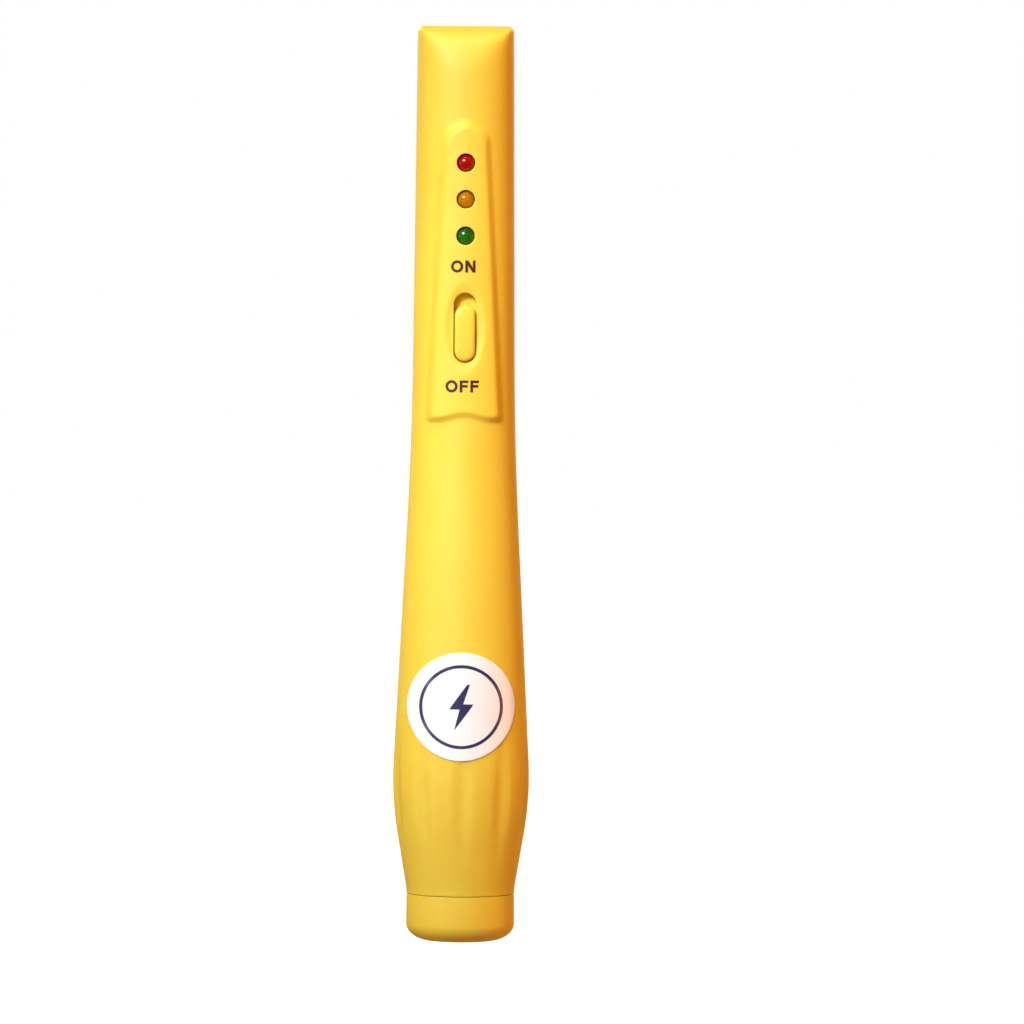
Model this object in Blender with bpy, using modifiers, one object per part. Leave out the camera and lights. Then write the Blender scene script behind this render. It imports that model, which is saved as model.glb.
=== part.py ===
"""Non-contact voltage tester: a two-shell casing that holds a circuit board with three indicator
lamps and a slide switch, two cells in line, and a tail cap that pulls off to change the cells.

Frame: +Z runs from the tail cap to the sensing tip, and -Y is the front, with lamps and switch.
The origin is the centre of the tail cap's flat end. Lengths are in metres.
"""

import math

import bmesh
import bpy
from mathutils import Matrix, Vector

MM = 0.001

# Clearances
TOUCH_GAP = 0.3 * MM  # between pieces that rest against each other
SLIDE_GAP = 0.25 * MM  # beside pieces that slide past each other
OVERLAP = 0.5 * MM  # how far joined shapes run into each other
PAST = 2 * MM  # how far a cutter runs past what it cuts

# Cells, size AAA
CELL_RADIUS = 5.25 * MM
CELL_LENGTH = 44.5 * MM
CELL_COUNT = 2
CELL_EDGE = 0.5 * MM
CELL_PLAY = 0.35 * MM
NUB_RADIUS = 1.9 * MM
NUB_HEIGHT = 1.0 * MM

# Contacts
SHEET_THICKNESS = 0.4 * MM
STRIP_WIDTH = 3.0 * MM
STRIP_BITE = 5.0 * MM  # how far the long strip reaches down beside the cap's tab
SPRING_HEIGHT = 6.0 * MM
SPRING_WIRE = 0.3 * MM
SPRING_TURNS = 4
SPRING_TOP_RADIUS = 2.4 * MM

# Tail cap
CAP_HEIGHT = 8.2 * MM
CAP_FLOOR = 2.0 * MM
CAP_EDGE = 3.0 * MM
CAP_DRAFT = 0.08 * MM
SPIGOT_LENGTH = 7.0 * MM
SPIGOT_WALL = 1.1 * MM
NECK_WALL = 1.3 * MM

# Casing
WALL = 1.6 * MM
GRIP_BULGE = 2.65 * MM  # how far the grip's corner stands out past the neck
GRIP_RISE = 16.7 * MM  # from the seam up to that corner
GRIP_ROUND = 5.0 * MM
NECK_LAND = 1.0 * MM  # the straight stretch above the seam
WAIST_SPACE = 2.15 * MM  # between cell and wall at the waist
WAIST_DROP = 3.9 * MM  # from the panel's foot down to the waist
WAIST_ROUND = 8.0 * MM
TIP_RADIUS = 8.42 * MM
TIP_EDGE = 0.8 * MM
TIP_SPARE = 0.2 * MM  # how far the turned body runs past the chisel tip that trims it
NOSE_LENGTH = 12.0 * MM
NOSE_MARGIN = 0.06 * MM  # keeps the chisel's flanks just off the turned body where they start
TIP_WALL = 2.0 * MM
TONGUE_HEIGHT = 0.8 * MM
TONGUE_THICKNESS = 0.6 * MM

# Grip flutes
FLUTE_COUNT = 10
FLUTE_RADIUS = 2.0 * MM
FLUTE_DEPTH = 0.75 * MM
FLUTE_LENGTH = 30.0 * MM
FLUTE_LEAN = math.radians(3.2)

# Raised panel
PANEL_RAISE = 0.7 * MM
PANEL_SPREAD = 1.2  # how much flatter than the casing its face is
PANEL_TOP_WIDTH = 8.1 * MM
PANEL_FOOT_WIDTH = 12.8 * MM
PANEL_FOOT_DROP = 16.2 * MM  # from the switch's middle down to the panel's foot
PANEL_SHOULDER_RISE = 3.7 * MM  # from the top lamp up to the shoulders
PANEL_APEX_RISE = 3.5 * MM  # from the shoulders up to the apex
PANEL_FOOT_ARCH = 0.9 * MM

# Slide switch
SWITCH_OFFSET = 6.6 * MM  # from the board's lower end up to the switch's middle
SWITCH_TRAVEL = 2.0 * MM
KNOB_WIDTH = 3.6 * MM
KNOB_LENGTH = 9.7 * MM
KNOB_PROUD = 0.4 * MM
KNOB_EDGE = 0.8 * MM
KNOB_END_GAP = 0.35 * MM
FLANGE_MARGIN = 1.0 * MM  # how far the knob's hidden flange reaches past each side of its head
FLANGE_THICKNESS = 0.9 * MM
FLANGE_REACH = 2.4 * MM  # how far the flange runs past the head at both ends
SCOOP_WIDTH = 7.4 * MM
SCOOP_LENGTH = 17.0 * MM
SCOOP_DEPTH = 0.45 * MM
CAN_LENGTH = 8.6 * MM
CAN_WIDTH = 3.7 * MM
CAN_CLEARANCE = 0.54 * MM  # between the switch's can and the knob's flange
CAN_SHEET = 0.3 * MM
LEVER_SIZE = 1.5 * MM
LEVER_FOOT = 2.6 * MM
LEVER_FOOT_THICKNESS = 0.8 * MM
BASE_THICKNESS = 0.6 * MM
PIN_PITCH = 2.54 * MM
PIN_RADIUS = 0.35 * MM
PIN_TAIL = 1.0 * MM

# Lamps, 3 mm LEDs
LAMP_RADIUS = 1.5 * MM
LAMP_LENGTH = 5.3 * MM
LAMP_FLANGE_RADIUS = 1.9 * MM
LAMP_FLANGE = 1.0 * MM
LAMP_RECESS = 0.3 * MM
LAMP_PLAY = 0.1 * MM
LAMP_PITCH = 6.35 * MM
LAMP_OFFSET = 16.0 * MM  # from the switch's middle up to the lowest lamp
LEG_SPACING = 2.54 * MM
LEG_RADIUS = 0.25 * MM

# Circuit board and what is on it
BOARD_WIDTH = 11.0 * MM
BOARD_THICKNESS = 1.2 * MM
BOARD_MARGIN = 7.8 * MM  # from the top lamp up to the board's upper end
HOLE_PLAY = 0.2 * MM
CHIP_LENGTH = 4.9 * MM
CHIP_WIDTH = 3.9 * MM
CHIP_HEIGHT = 1.4 * MM
CHIP_LEGS_PER_SIDE = 4
CHIP_LEG_PITCH = 1.27 * MM
CHIP_LEG_WIDTH = 0.4 * MM
CHIP_LEG_REACH = 1.0 * MM
SOUNDER_RADIUS = 0.66 * (TIP_RADIUS - WALL)
SOUNDER_HEIGHT = 0.5 * (TIP_RADIUS - WALL)
SOUNDER_STAND = 1.5 * MM
SOUNDER_HOLE = 0.8 * MM
CAPACITOR_RADIUS = 2.0 * MM
CAPACITOR_HEIGHT = 4.5 * MM
RESISTOR_SIZE = (1.25 * MM, 0.5 * MM, 2.0 * MM)
TRANSISTOR_SIZE = (1.3 * MM, 1.1 * MM, 2.9 * MM)

# Sensing plate in the tip
SENSOR_WIDTH = 10.0 * MM
SENSOR_HEIGHT = 3.6 * MM
SENSOR_LEG = 2.0 * MM

# Case screws, self-tapping
SCREW_RADIUS = 0.9 * MM
SCREW_HEAD_RADIUS = 1.8 * MM
SCREW_HEAD_HEIGHT = 1.2 * MM
SCREW_SINK = 0.5 * MM
BOSS_WALL = 1.0 * MM
DRIVE_WIDTH = 0.5 * MM
DRIVE_DEPTH = 0.6 * MM
MIDDLE_SCREW_OFFSET = 11.1 * MM  # from the switch's middle up to the screw
TIP_SCREW_OFFSET = 5.5 * MM  # from the board's upper end up to the screw
TIP_SCREW_MARGIN = 10.5 * MM  # from that screw up to the tip

# Round label
LABEL_RADIUS = 9.45 * MM
LABEL_THICKNESS = 0.2 * MM
LABEL_LIFT = 0.08 * MM
LABEL_OFFSET = 33.1 * MM  # from the seam up to the label's middle

# Facets
CASING_STEPS = 48
ROUND_STEPS = 32
SMALL_STEPS = 16
PIN_STEPS = 8

# Stations along the axis, from the tail up
PLATE_Z = CAP_FLOOR + TOUCH_GAP
SPRING_Z = PLATE_Z + SHEET_THICKNESS + TOUCH_GAP
CELL_Z = SPRING_Z + SPRING_HEIGHT + TOUCH_GAP
CELLS_TOP = CELL_Z + CELL_COUNT * CELL_LENGTH + (CELL_COUNT - 1) * TOUCH_GAP
CONTACT_Z = CELLS_TOP + TOUCH_GAP
BULKHEAD_Z = CONTACT_Z + SHEET_THICKNESS + TOUCH_GAP
BULKHEAD_THICKNESS = 1.0 * MM
BOARD_Z = BULKHEAD_Z + BULKHEAD_THICKNESS + TOUCH_GAP
SWITCH_Z = BOARD_Z + SWITCH_OFFSET
LAMP_Z = [SWITCH_Z + LAMP_OFFSET + i * LAMP_PITCH for i in range(3)]
BOARD_TOP = LAMP_Z[-1] + BOARD_MARGIN
MIDDLE_SCREW_Z = SWITCH_Z + MIDDLE_SCREW_OFFSET
TIP_SCREW_Z = BOARD_TOP + TIP_SCREW_OFFSET
TIP_Z = TIP_SCREW_Z + TIP_SCREW_MARGIN
NOSE_Z = TIP_Z - NOSE_LENGTH
SEAM_Z = CAP_HEIGHT + TOUCH_GAP
SPIGOT_TOP = CAP_HEIGHT + SPIGOT_LENGTH
SEAT_Z = SPIGOT_TOP + TOUCH_GAP
PANEL_FOOT_Z = SWITCH_Z - PANEL_FOOT_DROP
PANEL_SHOULDER_Z = LAMP_Z[-1] + PANEL_SHOULDER_RISE
LABEL_Z = SEAM_Z + LABEL_OFFSET

# Radii that follow from the cells
STRIP_Y = CELL_RADIUS + SLIDE_GAP
TAB_Y = STRIP_Y + SHEET_THICKNESS + SLIDE_GAP
SPIGOT_BORE = math.hypot(TAB_Y + SHEET_THICKNESS, STRIP_WIDTH / 2) + SLIDE_GAP
SPIGOT_RADIUS = SPIGOT_BORE + SPIGOT_WALL
NECK_BORE = SPIGOT_RADIUS + SLIDE_GAP / 2
NECK_RADIUS = NECK_BORE + NECK_WALL
GRIP_RADIUS = NECK_RADIUS + GRIP_BULGE
WAIST_RADIUS = CELL_RADIUS + WAIST_SPACE + WALL
CHANNEL_RADIUS = CELL_RADIUS + CELL_PLAY

# Depths, where the board's back face is the plane of the casing's joint
BOARD_FRONT = -BOARD_THICKNESS


# Helpers


def collection(name):
    """A new collection in the scene."""
    made = bpy.data.collections.new(name)
    bpy.context.scene.collection.children.link(made)
    return made


def material(name, color, roughness, metallic=0.0, alpha=1.0):
    made = bpy.data.materials.new(name)
    made.use_nodes = True
    shader = made.node_tree.nodes["Principled BSDF"]
    shader.inputs["Base Color"].default_value = (*color, 1)
    shader.inputs["Roughness"].default_value = roughness
    shader.inputs["Metallic"].default_value = metallic
    shader.inputs["Alpha"].default_value = alpha
    return made


def mesh_object(name, mesh):
    """An object that holds the mesh, among the cutters until finish() makes it a part."""
    obj = bpy.data.objects.new(name, mesh)
    CUTTERS.objects.link(obj)
    obj.hide_render = True
    obj.display_type = "WIRE"
    return obj


def finish(obj, surface, parent=None, smooth=40):
    """Makes the object a part: shown, with its material and smooth round faces."""
    CUTTERS.objects.unlink(obj)
    PARTS.objects.link(obj)
    obj.hide_render = False
    obj.display_type = "TEXTURED"
    obj.data.materials.append(surface)
    if obj.type == "MESH":
        obj.data.shade_smooth()
        obj.data.set_sharp_from_angle(angle=math.radians(smooth))
    if parent:
        obj.parent = parent
        obj.matrix_parent_inverse = parent.matrix_world.inverted()
    return obj


def boolean(obj, operation, *others):
    for other in others:
        modifier = obj.modifiers.new(f"{operation} {other.name}", "BOOLEAN")
        modifier.operation = operation
        modifier.object = other
    return obj


def box(name, low, high):
    mesh = bpy.data.meshes.new(name)
    shape = bmesh.new()
    bmesh.ops.create_cube(shape, size=1)
    size = Vector(high) - Vector(low)
    shape.transform(Matrix.Diagonal((*size, 1)))
    shape.transform(Matrix.Translation((Vector(low) + Vector(high)) / 2))
    shape.to_mesh(mesh)
    shape.free()
    return mesh_object(name, mesh)


def rods(name, spans, radius, steps):
    """Round rods, one for each pair of end points."""
    mesh = bpy.data.meshes.new(name)
    shape = bmesh.new()
    for start, end in spans:
        along = Vector(end) - Vector(start)
        turn = along.to_track_quat("Z", "Y").to_matrix().to_4x4()
        place = Matrix.Translation((Vector(start) + Vector(end)) / 2) @ turn
        bmesh.ops.create_cone(
            shape,
            cap_ends=True,
            segments=steps,
            radius1=radius,
            radius2=radius,
            depth=along.length,
            matrix=place,
        )
    shape.to_mesh(mesh)
    shape.free()
    return mesh_object(name, mesh)


def turned(name, profile, steps, closed=False):
    """A turned shape about Z. The profile holds (radius, z) points, down its outer side.

    It starts half a step round, so that the casing's joint runs along the middle of a facet.
    """
    mesh = bpy.data.meshes.new(name)
    half = math.pi / steps
    points = [(radius * math.cos(half), radius * math.sin(half), z) for radius, z in profile]
    edges = [(i, i + 1) for i in range(len(points) - 1)]
    if closed:
        edges.append((len(points) - 1, 0))
    mesh.from_pydata(points, edges, [])
    obj = mesh_object(name, mesh)
    screw = obj.modifiers.new("Turn", "SCREW")
    screw.steps = steps
    screw.render_steps = steps
    screw.use_merge_vertices = True
    screw.merge_threshold = 0.01 * MM
    return obj


def plate(name, outline, thickness, place):
    """A flat outline with a thickness, centred on its own plane and then placed."""
    curve = bpy.data.curves.new(name, "CURVE")
    curve.dimensions = "2D"
    curve.fill_mode = "BOTH"
    curve.extrude = thickness / 2
    spline = curve.splines.new("POLY")
    spline.points.add(len(outline) - 1)
    for point, (u, v) in zip(spline.points, outline):
        point.co = (u, v, 0, 1)
    spline.use_cyclic_u = True
    drawn = bpy.data.objects.new(name + "_outline", curve)
    CUTTERS.objects.link(drawn)
    drawn.matrix_world = place
    bpy.context.view_layer.update()
    graph = bpy.context.evaluated_depsgraph_get()
    mesh = bpy.data.meshes.new_from_object(drawn.evaluated_get(graph))
    shape = bmesh.new()
    shape.from_mesh(mesh)
    bmesh.ops.remove_doubles(shape, verts=shape.verts, dist=0.001 * MM)
    bmesh.ops.recalc_face_normals(shape, faces=shape.faces)
    shape.to_mesh(mesh)
    shape.free()
    obj = mesh_object(name, mesh)
    obj.matrix_world = drawn.matrix_world
    bpy.data.objects.remove(drawn)
    return obj


def facing_front(depth):
    """Places an outline drawn in X and Z on the plane y = depth."""
    return Matrix.Translation((0, depth, 0)) @ Matrix.Rotation(math.pi / 2, 4, "X")


def facing_side():
    """Places an outline drawn in Y and Z on the plane x = 0."""
    return Matrix(((0, 0, 1, 0), (1, 0, 0, 0), (0, 1, 0, 0), (0, 0, 0, 1)))


def bevel(obj, width, segments, angle=30):
    modifier = obj.modifiers.new("Edges", "BEVEL")
    modifier.width = width
    modifier.segments = segments
    modifier.limit_method = "ANGLE"
    modifier.angle_limit = math.radians(angle)
    return obj


def arc(centre, radius, start, end, steps):
    """Points on an arc, with angles in degrees."""
    found = []
    for i in range(steps + 1):
        angle = math.radians(start + (end - start) * i / steps)
        found.append((centre[0] + radius * math.cos(angle), centre[1] + radius * math.sin(angle)))
    return found


def stadium(width, length, centre, steps=8):
    """A slot's outline, with round ends at the top and the bottom."""
    radius = width / 2
    straight = length / 2 - radius
    top = arc((0, centre + straight), radius, 0, 180, steps)
    return top + arc((0, centre - straight), radius, 180, 360, steps)


def blend(before, corner, after, reach, steps):
    """A rounded corner: a parabola that leaves both straight sides at that distance in z."""
    start = corner_side(corner, before, reach)
    end = corner_side(corner, after, reach)
    found = []
    for i in range(steps + 1):
        t = i / steps
        weights = ((1 - t) ** 2, 2 * t * (1 - t), t**2)
        found.append(
            tuple(sum(w * p[k] for w, p in zip(weights, (start, corner, end))) for k in (0, 1))
        )
    return found


def corner_side(corner, neighbour, reach):
    """The point on the way from the corner to its neighbour that is that far away in z."""
    share = reach / abs(neighbour[1] - corner[1])
    return tuple(corner[k] + share * (neighbour[k] - corner[k]) for k in (0, 1))


# Casing outline


def casing_outline():
    """The casing's (radius, z) outline from the tip down to the seam."""
    tip = (TIP_RADIUS, TIP_Z + TIP_SPARE)
    waist = (WAIST_RADIUS, PANEL_FOOT_Z - WAIST_DROP)
    grip = (GRIP_RADIUS, SEAM_Z + GRIP_RISE)
    neck = (NECK_RADIUS, SEAM_Z + NECK_LAND)
    upper = [(tip[0] + (waist[0] - tip[0]) * i / 4, tip[1] + (waist[1] - tip[1]) * i / 4)
             for i in range(1, 4)]
    edge = arc((TIP_RADIUS - TIP_EDGE, tip[1] - TIP_EDGE), TIP_EDGE, 90, 0, 4)
    return (
        edge
        + upper
        + blend(tip, waist, grip, WAIST_ROUND, 4)
        + blend(waist, grip, neck, GRIP_ROUND, 5)
        + [neck, (NECK_RADIUS, SEAM_Z)]
    )


def radius_at(z):
    """The casing's outer radius at that height."""
    outline = casing_outline()
    for (r1, z1), (r2, z2) in zip(outline, outline[1:]):
        if z2 <= z <= z1 and z1 > z2:
            return r2 + (r1 - r2) * (z - z2) / (z1 - z2)
    return TIP_RADIUS if z > NOSE_Z else NECK_RADIUS


def front_at(z):
    """The distance from the axis to the panel's face on the middle line."""
    return radius_at(z) + PANEL_RAISE


def nose_outline(half, top, base, steps):
    """The side view of the tip: straight sides below base, then half an ellipse up to top."""
    points = [(half, SEAM_Z - PAST)]
    for i in range(steps + 1):
        angle = math.pi * i / steps
        points.append((half * math.cos(angle), base + (top - base) * math.sin(angle)))
    return points + [(-half, SEAM_Z - PAST)]


def nose(name, inset, end_wall, steps):
    """The slab with an elliptical end that gives the tip its chisel shape."""
    half = radius_at(NOSE_Z) + NOSE_MARGIN - inset
    reach = GRIP_RADIUS + PAST
    outline = nose_outline(half, TIP_Z - end_wall, NOSE_Z, steps)
    wide = [(y if z > NOSE_Z - MM else math.copysign(reach, y), z) for y, z in outline]
    step = [(half, NOSE_Z - MM), (reach, NOSE_Z - PAST)]
    mirrored = [(-y, z) for y, z in reversed(step)]
    side = [wide[0], step[1], step[0]] + wide[1:-1] + [mirrored[1], mirrored[0], wide[-1]]
    return plate(name, side, 2 * reach, facing_side())


def casing_solid():
    """The casing's outside as one solid: turned body, raised panel, chisel tip and flutes."""
    outline = casing_outline()
    blank = turned("casing", [(0, outline[0][1])] + outline + [(0, SEAM_Z)], CASING_STEPS)
    boolean(blank, "UNION", panel())
    boolean(blank, "INTERSECT", nose("nose", 0, 0, 12))
    boolean(blank, "DIFFERENCE", flutes())
    return blank


def panel_outline():
    """The panel's outline in X and Z: a shallow point, sides that spread, and an arched foot."""
    top = PANEL_TOP_WIDTH / 2
    foot = PANEL_FOOT_WIDTH / 2
    apex = (0, PANEL_SHOULDER_Z + PANEL_APEX_RISE)
    shoulder = (top, PANEL_SHOULDER_Z)
    half = [apex, (0.35 * top, apex[1] - 0.25 * PANEL_APEX_RISE)]
    half += [(0.85 * top, apex[1] - 0.7 * PANEL_APEX_RISE), shoulder]
    half.append((foot, PANEL_FOOT_Z + 0.7 * PANEL_FOOT_ARCH))
    for i in range(5):
        t = i / 4
        half.append((foot * (0.94 - 0.94 * t), PANEL_FOOT_Z + PANEL_FOOT_ARCH * t**1.5))
    mirrored = [(-x, z) for x, z in reversed(half[1:-1])]
    return half + mirrored


def panel():
    """The raised panel: its outline as a prism, with a face flatter than the casing's."""
    depth = radius_at(PANEL_FOOT_Z) + PANEL_RAISE + PAST
    inner = 0.4 * radius_at(PANEL_FOOT_Z)
    prism = plate("panel", panel_outline(), depth - inner, facing_front(-(depth + inner) / 2))
    outline = [(radius + PANEL_RAISE, z) for radius, z in casing_outline()]
    face = [(0, outline[0][1])] + outline + [(0, outline[-1][1])]
    skin = turned("panel_face", face, CASING_STEPS)
    skin.scale.x = PANEL_SPREAD
    return boolean(prism, "INTERSECT", skin)


def flutes():
    """The grip's flutes as leaning rods set round the shoulder of the grip."""
    middle_z = SEAM_Z + GRIP_RISE
    away = radius_at(middle_z) - FLUTE_DEPTH + FLUTE_RADIUS
    spans = []
    for i in range(FLUTE_COUNT):
        turn = -math.pi / 2 + math.tau * i / FLUTE_COUNT
        out = Vector((math.cos(turn), math.sin(turn), 0))
        along = out * math.sin(FLUTE_LEAN) + Vector((0, 0, math.cos(FLUTE_LEAN)))
        middle = out * away + Vector((0, 0, middle_z))
        spans.append((middle - along * FLUTE_LENGTH / 2, middle + along * FLUTE_LENGTH / 2))
    return rods("flutes", spans, FLUTE_RADIUS, SMALL_STEPS)


def cavity():
    """The hollow: the casing's outline less its wall, the chisel tip's hollow and the neck bore."""
    top = TIP_Z - TIP_WALL
    inside = [(radius - WALL, z) for radius, z in casing_outline() if SEAT_Z + MM < z < top - MM]
    profile = [(0, TIP_Z), (TIP_RADIUS - WALL, TIP_Z)] + inside
    profile += [(radius_at(SEAT_Z) - WALL, SEAT_Z), (NECK_BORE, SEAT_Z)]
    profile += [(NECK_BORE, SEAM_Z - PAST), (0, SEAM_Z - PAST)]
    hollow = turned("cavity", profile, CASING_STEPS)
    return boolean(hollow, "INTERSECT", nose("nose_hollow", WALL, TIP_WALL, 10))


def rib_stations():
    """Heights of the ribs that hold the cells: one near each end of each cell."""
    inset = CELL_LENGTH / 5
    found = []
    for i in range(CELL_COUNT):
        low = CELL_Z + i * (CELL_LENGTH + TOUCH_GAP)
        found += [low + inset, low + CELL_LENGTH - inset]
    return found


def ribs():
    """The ribs that hold the cells and the bulkhead above them, as discs."""
    half = BULKHEAD_THICKNESS / 2
    discs = []
    for z in rib_stations() + [BULKHEAD_Z + half]:
        radius = radius_at(z) - WALL + OVERLAP
        discs.append(rods(f"rib_{len(discs)}", [((0, 0, z - half), (0, 0, z + half))], radius, CASING_STEPS))
    return discs


def hollow_casing():
    """The casing with its hollow, its ribs, and the channel for the cells and contacts."""
    casing = casing_solid()
    boolean(casing, "DIFFERENCE", cavity())
    boolean(casing, "UNION", *ribs())
    channel = [((0, 0, SEAT_Z), (0, 0, BULKHEAD_Z - TOUCH_GAP / 2))]
    boolean(casing, "DIFFERENCE", rods("cell_channel", channel, CHANNEL_RADIUS, ROUND_STEPS))
    strip = STRIP_WIDTH / 2 + TOUCH_GAP
    notch = box(
        "strip_notch",
        (-strip, 0, SEAT_Z),
        (strip, STRIP_Y + SHEET_THICKNESS + TOUCH_GAP, BOARD_Z - TOUCH_GAP / 2),
    )
    tab_notch = box(
        "tab_notch",
        (-strip, BOARD_FRONT - 2 * TOUCH_GAP - SHEET_THICKNESS, BULKHEAD_Z - OVERLAP),
        (strip, OVERLAP, BOARD_Z - TOUCH_GAP / 3),
    )
    return boolean(casing, "DIFFERENCE", notch, tab_notch)


def tongue(name, grow, low, high):
    """A band inside the wall along both side joints, from y = low to y = high."""
    inner = WALL - 0.05 * MM + grow
    outer = WALL - TONGUE_THICKNESS - grow
    stations = [(r, z) for r, z in casing_outline() if SEAT_Z + PAST < z < NOSE_Z]
    top, bottom = stations[0], stations[-1]
    stations = [(top[0], top[1] + grow)] + stations[1:-1] + [(bottom[0], bottom[1] - grow)]
    outside = [(radius - outer, z) for radius, z in stations]
    inside = [(radius - inner, z) for radius, z in reversed(stations)]
    band = turned(name, outside + inside, CASING_STEPS, closed=True)
    reach = GRIP_RADIUS + PAST
    return boolean(band, "INTERSECT", box(name + "_slice", (-reach, low, 0), (reach, high, TIP_Z)))


def boss(name, z, start, end, radius=SCREW_RADIUS + BOSS_WALL):
    return rods(name, [((0, start, z), (0, end, z))], radius, ROUND_STEPS)


def front_shell():
    shell = hollow_casing()
    shell.name = "front_shell"
    reach = GRIP_RADIUS + PAST
    boolean(shell, "INTERSECT",
            box("front_half", (-reach, -reach, 0), (reach, -TOUCH_GAP / 2, TIP_Z + PAST)))
    boolean(shell, "UNION", tongue("tongue", 0, -OVERLAP, TONGUE_HEIGHT))
    wall_middle = radius_at(MIDDLE_SCREW_Z) - WALL + OVERLAP
    wall_tip = radius_at(TIP_SCREW_Z) - WALL + OVERLAP
    boolean(
        shell,
        "UNION",
        boss("middle_boss", MIDDLE_SCREW_Z, -wall_middle, BOARD_FRONT - TOUCH_GAP),
        boss("tip_boss", TIP_SCREW_Z, -wall_tip, -TOUCH_GAP / 2),
    )
    pilot = SCREW_RADIUS + TOUCH_GAP / 2
    for name, z, depth in (
        ("middle_pilot", MIDDLE_SCREW_Z, wall_middle - OVERLAP),
        ("tip_pilot", TIP_SCREW_Z, wall_tip - OVERLAP),
    ):
        boolean(shell, "DIFFERENCE", rods(name, [((0, -depth, z), (0, PAST, z))], pilot, SMALL_STEPS))
    boolean(shell, "DIFFERENCE", scoop(), slot(), flange_relief())
    for index, z in enumerate(LAMP_Z):
        hole = [((0, -front_at(z) - PAST, z), (0, -radius_at(z) + WALL + PAST, z))]
        boolean(shell, "DIFFERENCE",
                rods(f"lamp_hole_{index}", hole, LAMP_RADIUS + LAMP_PLAY, 24))
    return shell


def slot():
    length = KNOB_LENGTH + SWITCH_TRAVEL + 2 * KNOB_END_GAP
    outline = stadium(KNOB_WIDTH + 2 * SLIDE_GAP, length, SWITCH_Z)
    depth = front_at(SWITCH_Z) + PAST
    inner = radius_at(SWITCH_Z) - WALL - PAST
    return plate("slot", outline, depth - inner, facing_front(-(depth + inner) / 2))


def flange_relief():
    """Room in the bulkhead for the lower end of the knob's flange."""
    flange_top = switch_levels()[2]
    half = knob_flange_width() / 2 + SLIDE_GAP
    return box(
        "flange_relief",
        (-half, -flange_top - SLIDE_GAP / 2, BULKHEAD_Z - OVERLAP),
        (half, FLANGE_THICKNESS + SLIDE_GAP - flange_top, BULKHEAD_Z + BULKHEAD_THICKNESS + OVERLAP),
    )


def scoop():
    """The shallow finger scoop round the slot: a long ellipsoid that dips into the panel."""
    half = (SCOOP_WIDTH / 2, SCOOP_LENGTH / 2)
    radius = front_at(SWITCH_Z)
    bow = half[0] ** 2 / (2 * radius * PANEL_SPREAD)  # how far the panel falls away there
    deep = 2 * (SCOOP_DEPTH + bow)
    stretch = 1 / math.sqrt(1 - (1 - (SCOOP_DEPTH + bow) / deep) ** 2)
    mesh = bpy.data.meshes.new("scoop")
    shape = bmesh.new()
    bmesh.ops.create_uvsphere(shape, u_segments=24, v_segments=12, radius=1)
    shape.transform(Matrix.Diagonal((half[0] * stretch, deep, half[1] * stretch, 1)))
    shape.transform(Matrix.Translation((0, -(radius - SCOOP_DEPTH + deep), SWITCH_Z)))
    shape.to_mesh(mesh)
    shape.free()
    return mesh_object("scoop", mesh)


def rear_shell():
    shell = hollow_casing()
    shell.name = "rear_shell"
    reach = GRIP_RADIUS + PAST
    boolean(shell, "INTERSECT",
            box("rear_half", (-reach, TOUCH_GAP / 2, 0), (reach, reach, TIP_Z + PAST)))
    boolean(shell, "DIFFERENCE", tongue("rebate", SLIDE_GAP, -OVERLAP, TONGUE_HEIGHT + TOUCH_GAP))
    for label, z, low in (
        ("middle", MIDDLE_SCREW_Z, TOUCH_GAP),
        ("tip", TIP_SCREW_Z, TOUCH_GAP / 2),
    ):
        wall = radius_at(z)
        seat = wall - SCREW_SINK - SCREW_HEAD_HEIGHT - TOUCH_GAP
        counterbore = SCREW_HEAD_RADIUS + SLIDE_GAP
        inner = wall - WALL + OVERLAP
        sleeve = boss(f"{label}_sleeve", z, seat - BOSS_WALL, inner, counterbore + BOSS_WALL)
        boolean(shell, "UNION", boss(f"rear_{label}_boss", z, low, inner), sleeve)
        shank = [((0, -PAST, z), (0, wall + PAST, z))]
        boolean(shell, "DIFFERENCE",
                rods(f"{label}_clearance", shank, SCREW_RADIUS + SLIDE_GAP, SMALL_STEPS))
        head = [((0, seat, z), (0, wall + PAST, z))]
        boolean(shell, "DIFFERENCE", rods(f"{label}_counterbore", head, counterbore, ROUND_STEPS))
    return shell


def case_screw(name, z, point):
    """A pan-head screw that runs forward along -Y. Its head sits in the rear shell's counterbore."""
    top = radius_at(z) - SCREW_SINK
    neck = top - SCREW_HEAD_HEIGHT
    profile = [
        (0, top),
        (0.7 * SCREW_HEAD_RADIUS, top),
        (SCREW_HEAD_RADIUS, top - 0.4 * SCREW_HEAD_HEIGHT),
        (SCREW_HEAD_RADIUS, neck),
        (SCREW_RADIUS, neck),
        (SCREW_RADIUS, point + SCREW_RADIUS),
        (0.3 * SCREW_RADIUS, point),
        (0, point),
    ]
    screw = turned(name, profile, SMALL_STEPS)
    screw.matrix_world = Matrix.Translation((0, 0, z)) @ Matrix.Rotation(-math.pi / 2, 4, "X")
    arm = 0.7 * SCREW_HEAD_RADIUS
    half = DRIVE_WIDTH / 2
    low = top - DRIVE_DEPTH
    for axis, size in (("across", (arm, half)), ("along", (half, arm))):
        cut = box(f"{name}_{axis}", (-size[0], low, z - size[1]), (size[0], top + PAST, z + size[1]))
        boolean(screw, "DIFFERENCE", cut)
    return screw


# Tail end


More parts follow.
